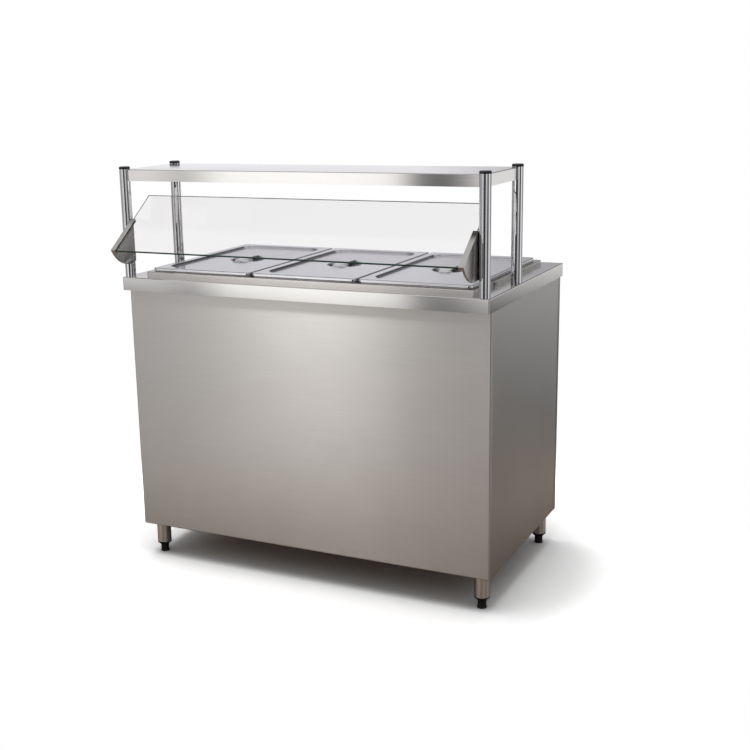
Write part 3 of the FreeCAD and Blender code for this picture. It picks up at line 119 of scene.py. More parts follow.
# The posts' bolts lie above this height and the legs' bolts below it
POSTS_ABOVE = 0.5

# Heating elements
TUBE_SIDES = 20
BEND_STEPS = 24
SEAT_DEPTH = 14 * MM
SEAT_FLATS = 9.0
SEAT_FOOT = 8.6
SEAT_STEP = 0.3
SEAT_TOP = 8.5
SEAT_EDGE = 0.4
SEAT_HEIGHT = 7.0


# Small tools

def linear(code):
    """Linear RGB of an sRGB hex colour."""
    parts = [int(code[i:i + 2], 16) / 255 for i in (1, 3, 5)]
    return tuple(c / 12.92 if c <= 0.04045 else ((c + 0.055) / 1.055) ** 2.4 for c in parts)


def node(tree, kind, inputs=(), stops=(), **settings):
    """Adds a node with its settings and links. Inputs go by name or number, or in order as a plain row, and a
    node among them gives its first output. Stops are the places and colours of a colour ramp."""
    made = tree.nodes.new(kind)
    for key, value in settings.items():
        setattr(made, key, value)
    for key, value in inputs.items() if isinstance(inputs, dict) else enumerate(inputs):
        source = value.outputs[0] if isinstance(value, bpy.types.Node) else value
        if isinstance(source, bpy.types.NodeSocket):
            tree.links.new(source, made.inputs[key])
        else:
            made.inputs[key].default_value = source
    marks = made.color_ramp.elements if stops else ()
    while len(marks) < len(stops):
        marks.new(0.5)
    for mark, (place, colour) in zip(marks, stops):
        mark.position = place
        mark.color = (*colour, 1)
    return made


def shown(name, mesh):
    """A new object with this mesh, at the origin."""
    piece = bpy.data.objects.new(name, mesh)
    bpy.context.scene.collection.objects.link(piece)
    return piece


def settled(piece):
    """Turns a piece's live modifiers into a plain mesh."""
    bpy.context.view_layer.update()
    ready = piece.evaluated_get(bpy.context.evaluated_depsgraph_get())
    mesh = bpy.data.meshes.new_from_object(ready)
    piece.modifiers.clear()
    old = piece.data
    piece.data = mesh
    bpy.data.meshes.remove(old)
    return piece


def smoothed(piece, crease=CREASE):
    """Smooth shading that keeps folds sharp and flat sheets flat."""
    piece.data.shade_smooth()
    piece.data.set_sharp_from_angle(angle=math.radians(crease))
    level = piece.modifiers.new("flat_sheets", "WEIGHTED_NORMAL")
    level.mode = "FACE_AREA"
    level.weight = SHEET_WEIGHT
    level.keep_sharp = True
    return settled(piece)


def placed(piece, material, body, nodes=()):
    """Gives a finished piece its material, the body it rides on and the CAD nodes it stands for."""
    if material is not None:
        piece.data.materials.clear()
        piece.data.materials.append(material)
    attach(piece, body)
    if nodes:
        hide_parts(*nodes)
    return piece


def skin(name, material, crease=CREASE):
    """A merged, smooth copy of a CAD node, standing for it."""
    mesh = frame["nodes"][name].data.copy()
    shape = bmesh.new()
    shape.from_mesh(mesh)
    bmesh.ops.remove_doubles(shape, verts=shape.verts, dist=MERGE)
    shape.to_mesh(mesh)
    shape.free()
    mesh.materials.clear()
    piece = smoothed(shown(name + "_skin", mesh), crease)
    return placed(piece, material, NODE_BODY[name], [name])


def islands(name):
    """The boxes of a CAD node's separate solids, as (low, high) corners."""
    shape = bmesh.new()
    shape.from_mesh(frame["nodes"][name].data)
    bmesh.ops.remove_doubles(shape, verts=shape.verts, dist=MERGE)
    left = set(shape.verts)
    boxes = []
    while left:
        front = [left.pop()]
        group = []
        while front:
            vert = front.pop()
            group.append(vert.co.copy())
            for edge in vert.link_edges:
                other = edge.other_vert(vert)
                if other in left:
                    left.remove(other)
                    front.append(other)
        boxes.append((Vector(map(min, *group)), Vector(map(max, *group))))
    shape.free()
    return sorted(boxes, key=lambda pair: tuple(pair[0]))


def lathe(name, outline, turns=48):
    """Solid of revolution about Z from (radius, height) points in mm, from the bottom up.
    A point with a third value is six-sided, and its corners lie lower by that share of their reach."""
    shape = bmesh.new()
    rings = []
    for radius, height, *drop in outline:
        if radius <= 0:
            rings.append([shape.verts.new((0, 0, height * MM))])
            continue
        row = []
        for i in range(turns):
            angle = math.tau * i / turns
            from_flat = (angle + math.pi / 6) % (math.pi / 3) - math.pi / 6
            reach = radius / math.cos(from_flat) if drop else radius
            low = drop[0] * (reach - radius) if drop else 0.0
            place = Vector((reach * math.cos(angle), reach * math.sin(angle), height - low))
            row.append(shape.verts.new(place * MM))
        rings.append(row)
    for low, high in zip(rings, rings[1:]):
        for i in range(turns):
            j = (i + 1) % turns
            corners = [low[i % len(low)], low[j % len(low)], high[j % len(high)], high[i % len(high)]]
            corners = list(dict.fromkeys(corners))
            if len(corners) > 2:
                shape.faces.new(corners)
    bmesh.ops.recalc_face_normals(shape, faces=shape.faces)
    mesh = bpy.data.meshes.new(name)
    shape.to_mesh(mesh)
    shape.free()
    return shown(name, mesh)


# Sizes and colours that a user would change

class CounterFinish(bpy.types.PropertyGroup):
    """Colours and grain of the counter's materials."""

    sheet: bpy.props.FloatVectorProperty(
        name="Satin sheet", description="Colour of the satin stainless sheet", subtype="COLOR",
        default=linear("#C9C6C2"), min=0, max=1)
    bright: bpy.props.FloatVectorProperty(
        name="Bright steel", description="Colour of the pressed and polished stainless steel",
        subtype="COLOR", default=linear("#D6D6D8"), min=0, max=1)
    plastic: bpy.props.FloatVectorProperty(
        name="Black plastic", description="Colour of the moulded feet, caps and controls", subtype="COLOR",
        default=linear("#1B1A1B"), min=0, max=1)
    glass_edge: bpy.props.FloatVectorProperty(
        name="Glass edge", description="Colour that thick glass takes when seen along the sheet",
        subtype="COLOR", default=linear("#5FB89A"), min=0, max=1)
    grain_width: bpy.props.FloatProperty(
        name="Grain width", description="Width of the satin grain as drawn", default=1.1 * MM,
        min=0.2 * MM, max=5 * MM, unit="LENGTH", precision=4)
    grain_length: bpy.props.FloatProperty(
        name="Grain length", description="Length of the satin grain as drawn", default=90 * MM,
        min=5 * MM, max=500 * MM, unit="LENGTH")


class CounterDetail(bpy.types.PropertyGroup):
    """Sizes of the small details."""

    screw_head: bpy.props.FloatProperty(
        name="Screw head", description="Radius of the pan-head screws", default=4.8 * MM, unit="LENGTH",
        precision=4)
    bolt_flats: bpy.props.FloatProperty(
        name="Bolt flats", description="Half the width across flats of the hexagon bolts", default=6.5 * MM,
        unit="LENGTH", precision=4)
    element_radius: bpy.props.FloatProperty(
        name="Element radius", description="Radius of the heating element's sheath", default=4.2 * MM,
        unit="LENGTH", precision=4)
    element_bend: bpy.props.FloatProperty(
        name="Element bend", description="Radius of the hairpin's bend", default=60 * MM, unit="LENGTH",
        precision=4)
    dial_radius: bpy.props.FloatProperty(
        name="Dial radius", description="Radius of the printed ring round the thermostat knob",
        default=25.5 * MM, unit="LENGTH", precision=4)
    figure_height: bpy.props.FloatProperty(
        name="Figure height", description="Size of the printed figures", default=6 * MM, unit="LENGTH",
        precision=4)


# Materials: what is drawn on them, and how far it changes their colour and gloss
NOISE_LOW = 0.3
NOISE_HIGH = 0.7
SATIN_TONES = (0.94, 1.04)
CLOUD_SIZE = 120 * MM
CLOUD_SHARE = 0.2
GRAIN_DEPTH = 0.4 * MM
GRAIN_LEAN = 0.05
ALONG_GRAIN = 0.75
BRIGHT_TONES = (0.95, 1.02)
HAZE_SIZE = 35 * MM
CLEAREST = 0.02
WAVE_DEPTH = 2 * MM
PLASTIC_TONES = (0.85, 1.2)
PLASTIC_PALEST = 0.75
PLASTIC_IOR = 1.5
STAIN_SIZE = 20 * MM
STAIN_GLOSS = 0.06
GRIT_DEPTH = 0.3 * MM
FILM_SIZE = 60 * MM
FILM_RANGE = (0.35, 0.75)
FILM_HAZE = 0.025
GLASS_IOR = 1.52
GLASS_SHEEN = (0.06, 0.06, 0.06, 1)
GLASS_DENSITY = 2.0


def surface(name):
    """A new material, its empty tree and its Object coordinates."""
    made = bpy.data.materials.new(name)
    made.use_nodes = True
    tree = made.node_tree
    tree.nodes.clear()
    return made, tree, node(tree, "ShaderNodeTexCoord").outputs["Object"]


def finished(made, pattern, colour, tones, gloss, inputs, palest=NOISE_HIGH):
    """Ends a material whose pattern leads its colour from a darker to a paler tone, and its roughness
    through a range."""
    tree = made.node_tree
    dark, pale = [[min(1, c * tone) for c in colour] for tone in tones]
    tint = node(tree, "ShaderNodeValToRGB", {"Fac": pattern}, [(NOISE_LOW, dark), (palest, pale)])
    rough = node(tree, "ShaderNodeMapRange", (pattern, NOISE_LOW, NOISE_HIGH, *gloss))
    shader = node(tree, "ShaderNodeBsdfPrincipled", {"Base Color": tint, "Roughness": rough, **inputs})
    node(tree, "ShaderNodeOutputMaterial", {"Surface": shader})
    return made


def satin_steel(name, colour, axis, rough, spread=0.05, relief=0.04, pull=0.75):
    """Satin stainless sheet, belt-ground along one axis: long fine lines, and a gloss that is drawn out
    across them.
    The real grain is about 0.1 mm wide; it is drawn about a millimetre wide so that it shows."""
    finish = bpy.context.scene.counter_finish
    made, tree, spot = surface(name)
    # The sheet's grain turns down with the folds, so the stretch lies across it on every face. It leans a
    # little to the next axis, since it would vanish on faces that look along it
    beside = (axis + 1) % 3
    way = [0.0, 0.0, 0.0]
    way[axis], way[beside] = 1.0, GRAIN_LEAN
    facing = node(tree, "ShaderNodeNewGeometry").outputs["Normal"]
    across = node(tree, "ShaderNodeVectorMath", (facing, way), operation="CROSS_PRODUCT")
    scale = [1 / finish.grain_width] * 3
    scale[axis] = 1 / finish.grain_length
    lines = node(tree, "ShaderNodeMapping", {"Vector": spot, "Scale": scale})
    # A face that looks along the grain, such as a turned-down end, has its lines along the next axis
    scale[axis], scale[beside] = scale[beside], scale[axis]
    ends = node(tree, "ShaderNodeMapping", {"Vector": spot, "Scale": scale})
    away = node(tree, "ShaderNodeSeparateXYZ", (facing,)).outputs[axis]
    away = node(tree, "ShaderNodeMath", (away,), operation="ABSOLUTE")
    end = node(tree, "ShaderNodeMath", (away, ALONG_GRAIN), operation="GREATER_THAN")
    lines = node(tree, "ShaderNodeMix", {0: end, 4: lines, 5: ends}, data_type="VECTOR").outputs[1]
    grain = node(tree, "ShaderNodeTexNoise", {"Vector": lines, "Scale": 1.0, "Detail": 3.0, "Roughness": 0.6})
    cloud = node(tree, "ShaderNodeTexNoise", {"Vector": spot, "Scale": 1 / CLOUD_SIZE, "Detail": 2.0})
    both = node(tree, "ShaderNodeMath", (grain, 1 - CLOUD_SHARE), operation="MULTIPLY")
    both = node(tree, "ShaderNodeMath", (cloud, CLOUD_SHARE, both), operation="MULTIPLY_ADD")
    bump = node(tree, "ShaderNodeBump", {"Height": grain, "Strength": relief, "Distance": GRAIN_DEPTH})
    return finished(made, both, colour, SATIN_TONES, (rough - spread, rough + spread),
                    {"Metallic": 1.0, "Anisotropic": pull, "Tangent": across, "Normal": bump})


def bright_steel(name, colour, rough, wave=0.0, wave_size=90 * MM, spread=0.03):
    """Pressed or polished stainless: clear reflections, with the slight waves of a drawn sheet."""
    made, tree, spot = surface(name)
    haze = node(tree, "ShaderNodeTexNoise",
                {"Vector": spot, "Scale": 1 / HAZE_SIZE, "Detail": 4.0, "Roughness": 0.6})
    swell = node(tree, "ShaderNodeTexNoise", {"Vector": spot, "Scale": 1 / wave_size, "Detail": 1.0})
    bump = node(tree, "ShaderNodeBump", {"Height": swell, "Strength": wave, "Distance": WAVE_DEPTH})
    return finished(made, haze, colour, BRIGHT_TONES, (max(CLEAREST, rough - spread), rough + spread),
                    {"Metallic": 1.0, "Normal": bump})


def moulded(name, colour, rough, grit=1.2 * MM, relief=0.12, coat=0.0):
    """Moulded plastic or rubber: a fine leathery texture and a soft sheen."""
    made, tree, spot = surface(name)
    leather = node(tree, "ShaderNodeTexNoise", {"Vector": spot, "Scale": 1 / grit, "Detail": 2.0})
    stain = node(tree, "ShaderNodeTexNoise", {"Vector": spot, "Scale": 1 / STAIN_SIZE, "Detail": 3.0})
    bump = node(tree, "ShaderNodeBump", {"Height": leather, "Strength": relief, "Distance": GRIT_DEPTH})
    return finished(made, stain, colour, PLASTIC_TONES, (rough - STAIN_GLOSS, rough + STAIN_GLOSS),
                    {"IOR": PLASTIC_IOR, "Coat Weight": coat, "Normal": bump}, PLASTIC_PALEST)


def float_glass(name):
    """Toughened float glass with ground edges: clear face on, deep green along the sheet."""
    finish = bpy.context.scene.counter_finish
    made, tree, spot = surface(name)
    film = node(tree, "ShaderNodeTexNoise", {"Vector": spot, "Scale": 1 / FILM_SIZE, "Detail": 3.0})
    haze = node(tree, "ShaderNodeMapRange", (film, *FILM_RANGE, 0.0, FILM_HAZE))
    shader = node(tree, "ShaderNodeBsdfPrincipled",
                  {"Base Color": (*linear("#F5F3F4"), 1), "IOR": GLASS_IOR, "Roughness": haze,
                   "Transmission Weight": 1.0, "Specular Tint": GLASS_SHEEN})
    body = node(tree, "ShaderNodeVolumeAbsorption",
                {"Color": (*finish.glass_edge, 1), "Density": GLASS_DENSITY})
    node(tree, "ShaderNodeOutputMaterial", {"Surface": shader, "Volume": body})
    return made


MATERIALS = {}


def make_materials():
    """All the counter's materials, by name."""
    finish = bpy.context.scene.counter_finish
    sheet = tuple(finish.sheet)
    bright = tuple(finish.bright)
    black = tuple(finish.plastic)
    MATERIALS.update({
        # Belt-ground sheet: soft highlights, drawn out across fine lines along each panel
        "satin_x": satin_steel("satin_stainless_along", sheet, X, 0.3, spread=0.02, relief=0.012, pull=0.9),
        "satin_y": satin_steel("satin_stainless_across", sheet, Y, 0.36, spread=0.06, relief=0.06),
        "satin_z": satin_steel("satin_stainless_upright", sheet, Z, 0.34),
        # Sheet that is ground finer: the room shows in it as soft bands
        "top": satin_steel("satin_stainless_worktop", linear("#D8D6D3"), X, 0.11, spread=0.01, relief=0.006),
        "frame": satin_steel("satin_stainless_frame", sheet, X, 0.2, spread=0.01, relief=0.006),
        "bracket": satin_steel("satin_stainless_bracket", sheet, Z, 0.18, spread=0.03, relief=0.03),
        # Drawn tube: the polished posts are mirrors; the satin legs have one soft glow, and a paler colour
        # than the sheet as painted light
        "tube": bright_steel("polished_stainless_tube", bright, 0.07, wave=0.01, wave_size=80 * MM,
                             spread=0.01),
        # Painted light: the legs take a paler steel than the sheet, for the light they would mirror
        "leg": satin_steel("satin_stainless_tube_painted_light", linear("#E8E4E0"), X, 0.34, spread=0.03, relief=0.02),
        # Pressed sheet: blurred mirrors, with painted shade as a darker steel in the finger dishes, and
        # duller in the tank
        "pressed": bright_steel("pressed_stainless", bright, 0.17, wave=0.02, wave_size=120 * MM),
        # Painted shade: a darker steel for the inside of the lids' finger dishes
        "dish": bright_steel("pressed_stainless_dish", linear("#8E8C8D"), 0.2, wave=0.02, wave_size=120 * MM),
        "tank": bright_steel("bright_annealed_tank", bright, 0.25, wave=0.1, wave_size=100 * MM),
        # Small metal: glints on the plated pieces, plain grey on fasteners and extrusions
        "plate": bright_steel("nickel_plate", linear("#D2CFC9"), 0.12),
        "bolt": bright_steel("stainless_fastener", linear("#BDBBB8"), 0.24),
        "aluminium": satin_steel("extruded_aluminium", linear("#C8C9CB"), X, 0.38),
        # Cast brass is warm and pebbly, and a sheath that was often hot is a dull brown
        "brass": bright_steel("cast_brass", linear("#C9A560"), 0.32, wave=0.2, wave_size=6 * MM, spread=0.06),
        "element": bright_steel("heat_darkened_sheath", linear("#6B6560"), 0.42, wave=0.2, wave_size=10 * MM,
                                spread=0.08),
        # Moulded black: leathery feet, smoother caps, glossy controls and matt rubber
        "black": moulded("black_polyamide", black, 0.48),
        "cap": moulded("black_nylon_cap", linear("#2B272A"), 0.34, relief=0.04),
        "phenolic": moulded("black_phenolic", linear("#161617"), 0.24, grit=4 * MM, relief=0.03, coat=0.3),
        "rubber": moulded("black_glazing_rubber", linear("#131313"), 0.7, grit=1 * MM, relief=0.2),
        # Coloured plastics: waxy nylon, glossy switch and lens, a softer dipped grip
        "nylon": moulded("natural_nylon", linear("#DAD6CA"), 0.42),
        "rocker": moulded("red_polycarbonate", linear("#B5120D"), 0.2, grit=6 * MM, relief=0.02, coat=0.4),
        "amber": moulded("amber_acrylic_lens", linear("#E08A1E"), 0.12, grit=10 * MM, relief=0.02, coat=0.5),
        "vinyl": moulded("red_vinyl_grip", linear("#A81C17"), 0.36, grit=2 * MM, relief=0.1),
        # Print and paint: flat, with almost no shine
        "ink": moulded("black_screen_ink", linear("#1C1C1E"), 0.55, grit=1 * MM, relief=0.05),
        "paint": moulded("white_line_paint", linear("#EDEDE8"), 0.5, grit=1 * MM, relief=0.05),
        # Glass: nearly unseen face on, a dark green line at its edges
        "glass": float_glass("toughened_float_glass"),
        "glass_edge": moulded("ground_glass_edge", linear("#1D6450"), 0.3, grit=2 * MM, relief=0.05,
                              coat=0.3),
    })


# Geometry Nodes: copies on points and tubes along paths

def new_tree(name, inputs, output):
    """A Geometry Nodes tree with these inputs and one output: the tree and its inputs' sockets."""
    tree = bpy.data.node_groups.new(name, "GeometryNodeTree")
    for label, kind in inputs.items():
        tree.interface.new_socket(label, in_out="INPUT", socket_type="NodeSocket" + kind)
    tree.interface.new_socket(output, in_out="OUTPUT", socket_type="NodeSocketGeometry")
    return tree, node(tree, "NodeGroupInput").outputs


def copies_tree():
    """A tree that sets a shape on each point, turned to the point's aim and spun at random about it."""
    inputs = {"Points": "Geometry", "Shape": "Object", "Spin": "Float", "Finish": "Material"}
    tree, entry = new_tree("copies_on_points", inputs, "Copies")
    aim = node(tree, "GeometryNodeInputNamedAttribute", {"Name": "aim"}, data_type="FLOAT_VECTOR")
    facing = node(tree, "FunctionNodeAlignRotationToVector", {"Vector": aim}, axis="Z")
    spin = node(tree, "FunctionNodeRandomValue", {"Seed": SPIN_SEED}, data_type="FLOAT")
    tree.links.new(entry["Spin"], [s for s in spin.inputs if s.name == "Max" and s.type == "VALUE"][0])
    value = [s for s in spin.outputs if s.type == "VALUE"][0]
    about = node(tree, "FunctionNodeAxisAngleToRotation", {"Axis": (0, 0, 1), "Angle": value})
    turned = node(tree, "FunctionNodeRotateRotation", {"Rotation": facing, "Rotate By": about},
                  rotation_space="LOCAL")
    shape = node(tree, "GeometryNodeObjectInfo", {"Object": entry["Shape"]}).outputs["Geometry"]
    points = node(tree, "GeometryNodeMeshToPoints", {"Mesh": entry["Points"]})
    copies = node(tree, "GeometryNodeInstanceOnPoints",
                  {"Points": points, "Instance": shape, "Rotation": turned})
    real = node(tree, "GeometryNodeRealizeInstances", {"Geometry": copies})
    coat = node(tree, "GeometryNodeSetMaterial", {"Geometry": real, "Material": entry["Finish"]})
    node(tree, "NodeGroupOutput", {"Copies": coat})
    return tree


def tube_tree():
    """A tree that leads a round tube along a line with filleted corners."""
    inputs = {"Line": "Geometry", "Radius": "Float", "Bend": "Float", "Finish": "Material"}
    tree, entry = new_tree("tube_along_line", inputs, "Tube")
    line = node(tree, "GeometryNodeMeshToCurve", {"Mesh": entry["Line"]})
    bent = node(tree, "GeometryNodeFilletCurve", {"Curve": line, "Radius": entry["Bend"]}, mode="POLY")
    [s for s in bent.inputs if s.name == "Count"][0].default_value = BEND_STEPS
    ring = node(tree, "GeometryNodeCurvePrimitiveCircle",
                {"Resolution": TUBE_SIDES, "Radius": entry["Radius"]})
    tube = node(tree, "GeometryNodeCurveToMesh", {"Curve": bent, "Profile Curve": ring, "Fill Caps": True})
    real = node(tree, "GeometryNodeRealizeInstances", {"Geometry": tube})
    coat = node(tree, "GeometryNodeSetMaterial", {"Geometry": real, "Material": entry["Finish"]})
    node(tree, "NodeGroupOutput", {"Tube": coat})
    return tree


def grown(name, verts, edges, tree, values, aims=None):
    """A mesh of points or lines, run through a Geometry Nodes tree and made plain."""
    mesh = bpy.data.meshes.new(name)
    mesh.from_pydata(verts, edges, [])
    if aims:
        aim = mesh.attributes.new("aim", "FLOAT_VECTOR", "POINT")
        aim.data.foreach_set("vector", [c for a in aims for c in a])
    piece = shown(name, mesh)
    made = piece.modifiers.new(tree.name, "NODES")
    made.node_group = tree
    for item in tree.interface.items_tree:
        if item.in_out == "INPUT" and item.name in values:
            made[item.identifier] = values[item.name]
    return settled(piece)


def dropped(template):
    """Takes a template object out of the file."""
    mesh = template.data
    bpy.data.objects.remove(template)
    bpy.data.meshes.remove(mesh)


def recessed(template, cutter):
    """Cuts a recess into a template."""
    cut = template.modifiers.new("recess", "BOOLEAN")
    cut.operation = "DIFFERENCE"
    cut.object = cutter
    cut.solver = "EXACT"
    settled(template)
    dropped(cutter)


def block(name, low, high, turn=0.0):
    """A plain block between two corners, turned about Z."""
    mesh = bpy.data.meshes.new(name)
    shape = bmesh.new()
    bmesh.ops.create_cube(shape, size=1.0)
    size = Vector(high) - Vector(low)
    middle = (Vector(high) + Vector(low)) / 2
    place = Matrix.Rotation(turn, 4, "Z") @ Matrix.Translation(middle) @ Matrix.Diagonal((*size, 1))
    shape.transform(place)
    shape.to_mesh(mesh)
    shape.free()
    return shown(name, mesh)


def screw_template():
    """Pan-head screw with a cross recess, its seat at the origin and its head up."""
    head = bpy.context.scene.counter_detail.screw_head / MM
    crown = [(head * share, height) for share, height in SCREW_CROWN]
    outline = [(0, -SCREW_LENGTH), (SCREW_TIP, -SCREW_LENGTH), (SCREW_SHANK, SCREW_CHAMFER - SCREW_LENGTH),
               (SCREW_SHANK, 0.0), (head, 0.0), (head, SCREW_RIM), *crown, (0, SCREW_HEIGHT)]
    template = lathe("screw_template", outline)
    span, width = CROSS_SPAN / 2 * MM, CROSS_WIDTH / 2 * MM
    for turn in (0.0, math.pi / 2):
        low = (-span, -width, CROSS_FLOOR * MM)
        high = (span, width, CROSS_TOP * MM)
        recessed(template, block("cross_recess", low, high, turn))
    return template


def bolt_template():
    """Hexagon bolt with a washer face and a chamfered head, its seat at the origin and its head up."""
    half = bpy.context.scene.counter_detail.bolt_flats / MM
    washer = half - WASHER_INSET
    outline = [(0, -BOLT_LENGTH), (BOLT_TIP, -BOLT_LENGTH), (BOLT_SHANK, BOLT_CHAMFER - BOLT_LENGTH),
               (BOLT_SHANK, 0.0), (washer, 0.0), (washer, WASHER_FACE), (half, WASHER_FACE, 0.0),
               (half, BOLT_HEIGHT - BOLT_EDGE, HEX_SLOPE), (half - BOLT_INSET, BOLT_HEIGHT), (0, BOLT_HEIGHT)]
    return lathe("bolt_template", outline)


def seat_template():
    """Hexagon seat of a heating element, standing on the tank's wall."""
    outline = [(0, 0), (SEAT_FOOT, 0), (SEAT_FLATS, SEAT_STEP, 0.0),
               (SEAT_FLATS, SEAT_HEIGHT - SEAT_EDGE, HEX_SLOPE), (SEAT_TOP, SEAT_HEIGHT), (0, SEAT_HEIGHT)]
    return lathe("seat_template", outline)


def lettering(name, words, size):
    """Printed figures as one thin mesh, from (text, place) pairs."""
    shape = bmesh.new()
    for text, place in words:
        curve = bpy.data.curves.new(name, "FONT")
        curve.body = text
        curve.size = size
        curve.extrude = INK
        curve.align_x = "CENTER"
        curve.align_y = "CENTER"
        holder = shown(name, curve)
        bpy.context.view_layer.update()
        mesh = bpy.data.meshes.new_from_object(holder.evaluated_get(bpy.context.evaluated_depsgraph_get()))
        mesh.transform(place)
        shape.from_mesh(mesh)
        bpy.data.meshes.remove(mesh)
        bpy.data.objects.remove(holder)
        bpy.data.curves.remove(curve)
    bmesh.ops.remove_doubles(shape, verts=shape.verts, dist=PRINT_MERGE)
    mesh = bpy.data.meshes.new(name)
    shape.to_mesh(mesh)
    shape.free()
    return shown(name, mesh)


def towards_server(spot):
    """Places flat print on a wall that faces the server."""
    return Matrix.Translation(spot) @ Matrix(((-1, 0, 0, 0), (0, 0, 1, 0), (0, 1, 0, 0), (0, 0, 0, 1)))


# Operators, one for each group of pieces

class COUNTER_OT_materials(bpy.types.Operator):
    """Makes the steels, plastics, glass and brass of the counter"""
    bl_idname = "counter.materials"
    bl_label = "Materials"

    def execute(self, context):
        make_materials()
        return {"FINISHED"}


class COUNTER_OT_worktop(bpy.types.Operator):
    """Dresses the worktop and the raised frame round the well"""
    bl_idname = "counter.worktop"
    bl_label = "Worktop"

    def execute(self, context):
        skin("worktop", MATERIALS["top"])
        skin("well_frame", MATERIALS["frame"])
        return {"FINISHED"}


class COUNTER_OT_well(bpy.types.Operator):
    """Dresses the tank, the bars and the drain, and bends the heating elements"""
    bl_idname = "counter.well"
    bl_label = "Well and drain"

    def execute(self, context):
        skin("well_tank", MATERIALS["tank"])
        skin("pan_dividers", MATERIALS["pressed"])
        skin("drain_outlet", MATERIALS["brass"])
        skin("drain_valve_body", MATERIALS["brass"])
        skin("drain_ball", MATERIALS["plate"])
        lever = skin("drain_lever", MATERIALS["plate"])
        lever.data.materials.append(MATERIALS["vinyl"])
        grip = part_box("drain_lever")[1][0] - GRIP_LENGTH
        for polygon in lever.data.polygons:
            polygon.material_index = int(polygon.center.x > grip)
        self.elements(context.scene.counter_detail)
        return {"FINISHED"}

    def elements(self, detail):
        """Hairpin tubes over the tank's floor, with a hexagon seat at each end."""
        verts, edges, seats = [], [], []
        for low, high in islands("heating_elements"):
            middle = (low + high) / 2
            front = low.y + detail.element_radius
            ends = [middle.x - detail.element_bend, middle.x + detail.element_bend]
            first = len(verts)
            verts += [(ends[0], high.y, middle.z), (ends[0], front, middle.z), (ends[1], front, middle.z),
                      (ends[1], high.y, middle.z)]
            edges += [(first + i, first + i + 1) for i in range(3)]
            seats += [(x, high.y - SEAT_DEPTH, middle.z) for x in ends]
        values = {"Radius": detail.element_radius, "Bend": detail.element_bend - MERGE,
                  "Finish": MATERIALS["element"]}
        tubes = smoothed(grown("element_tubes", verts, edges, tube_tree(), values))
        placed(tubes, None, NODE_BODY["heating_elements"], ["heating_elements"])
        template = seat_template()
        values = {"Shape": template, "Spin": 0.0, "Finish": MATERIALS["plate"]}
        nuts = smoothed(grown("element_seats", seats, [], copies_tree(), values, [(0, 1, 0)] * len(seats)))
        dropped(template)
        placed(nuts, None, NODE_BODY["heating_elements"])


class COUNTER_OT_pans(bpy.types.Operator):
    """Dresses the gastronorm pans, their lids and the strap handles"""
    bl_idname = "counter.pans"
    bl_label = "Pans and lids"

    def execute(self, context):
        for name in PANS:
            skin("pan_" + name, MATERIALS["pressed"])
            self.lid(skin("lid_" + name, MATERIALS["pressed"]))
            skin("lid_handle_" + name, MATERIALS["pressed"])
        return {"FINISHED"}

    def lid(self, lid):
        """Gives the lid a little air beside its neighbours, and paints shade into its finger dish as a
        darker, duller steel.
        """
        mesh = lid.data
        xs = [vert.co.x for vert in mesh.vertices]
        middle = (min(xs) + max(xs)) / 2
        half = (max(xs) - min(xs)) / 2
        for vert in mesh.vertices:
            if abs(vert.co.x - middle) > half - LID_EDGE:
                vert.co.x -= math.copysign(LID_AIR, vert.co.x - middle)
        # Painted shade: the faces of the finger dish take a darker steel than the rest of the lid
        mesh.materials.append(MATERIALS["dish"])
        ys = [vert.co.y for vert in mesh.vertices]
        centre = Vector((middle, (min(ys) + max(ys)) / 2))
        for polygon in mesh.polygons:
            polygon.material_index = int((polygon.center.xy - centre).length < DISH_REACH)


class COUNTER_OT_cabinet(bpy.types.Operator):
    """Dresses the folded panels of the cabinet"""
    bl_idname = "counter.cabinet"
    bl_label = "Cabinet"

    def execute(self, context):
        skin("front_panel", MATERIALS["satin_x"])
        skin("cupboard_floor", MATERIALS["satin_x"])
        skin("cupboard_ceiling", MATERIALS["satin_x"])
        for side in SIDES:
            skin("side_panel_" + side, MATERIALS["satin_y"])
            skin("rear_upright_" + side, MATERIALS["satin_z"])
        return {"FINISHED"}


class COUNTER_OT_doors(bpy.types.Operator):
    """Dresses the sliding doors, their shoes and tracks"""
    bl_idname = "counter.doors"
    bl_label = "Doors"

    def execute(self, context):
        for side in SIDES:
            skin("door_" + side, MATERIALS["satin_z"])
            skin("door_shoes_" + side, MATERIALS["nylon"])
        skin("door_sill", MATERIALS["aluminium"])
        skin("door_head", MATERIALS["aluminium"])
        return {"FINISHED"}


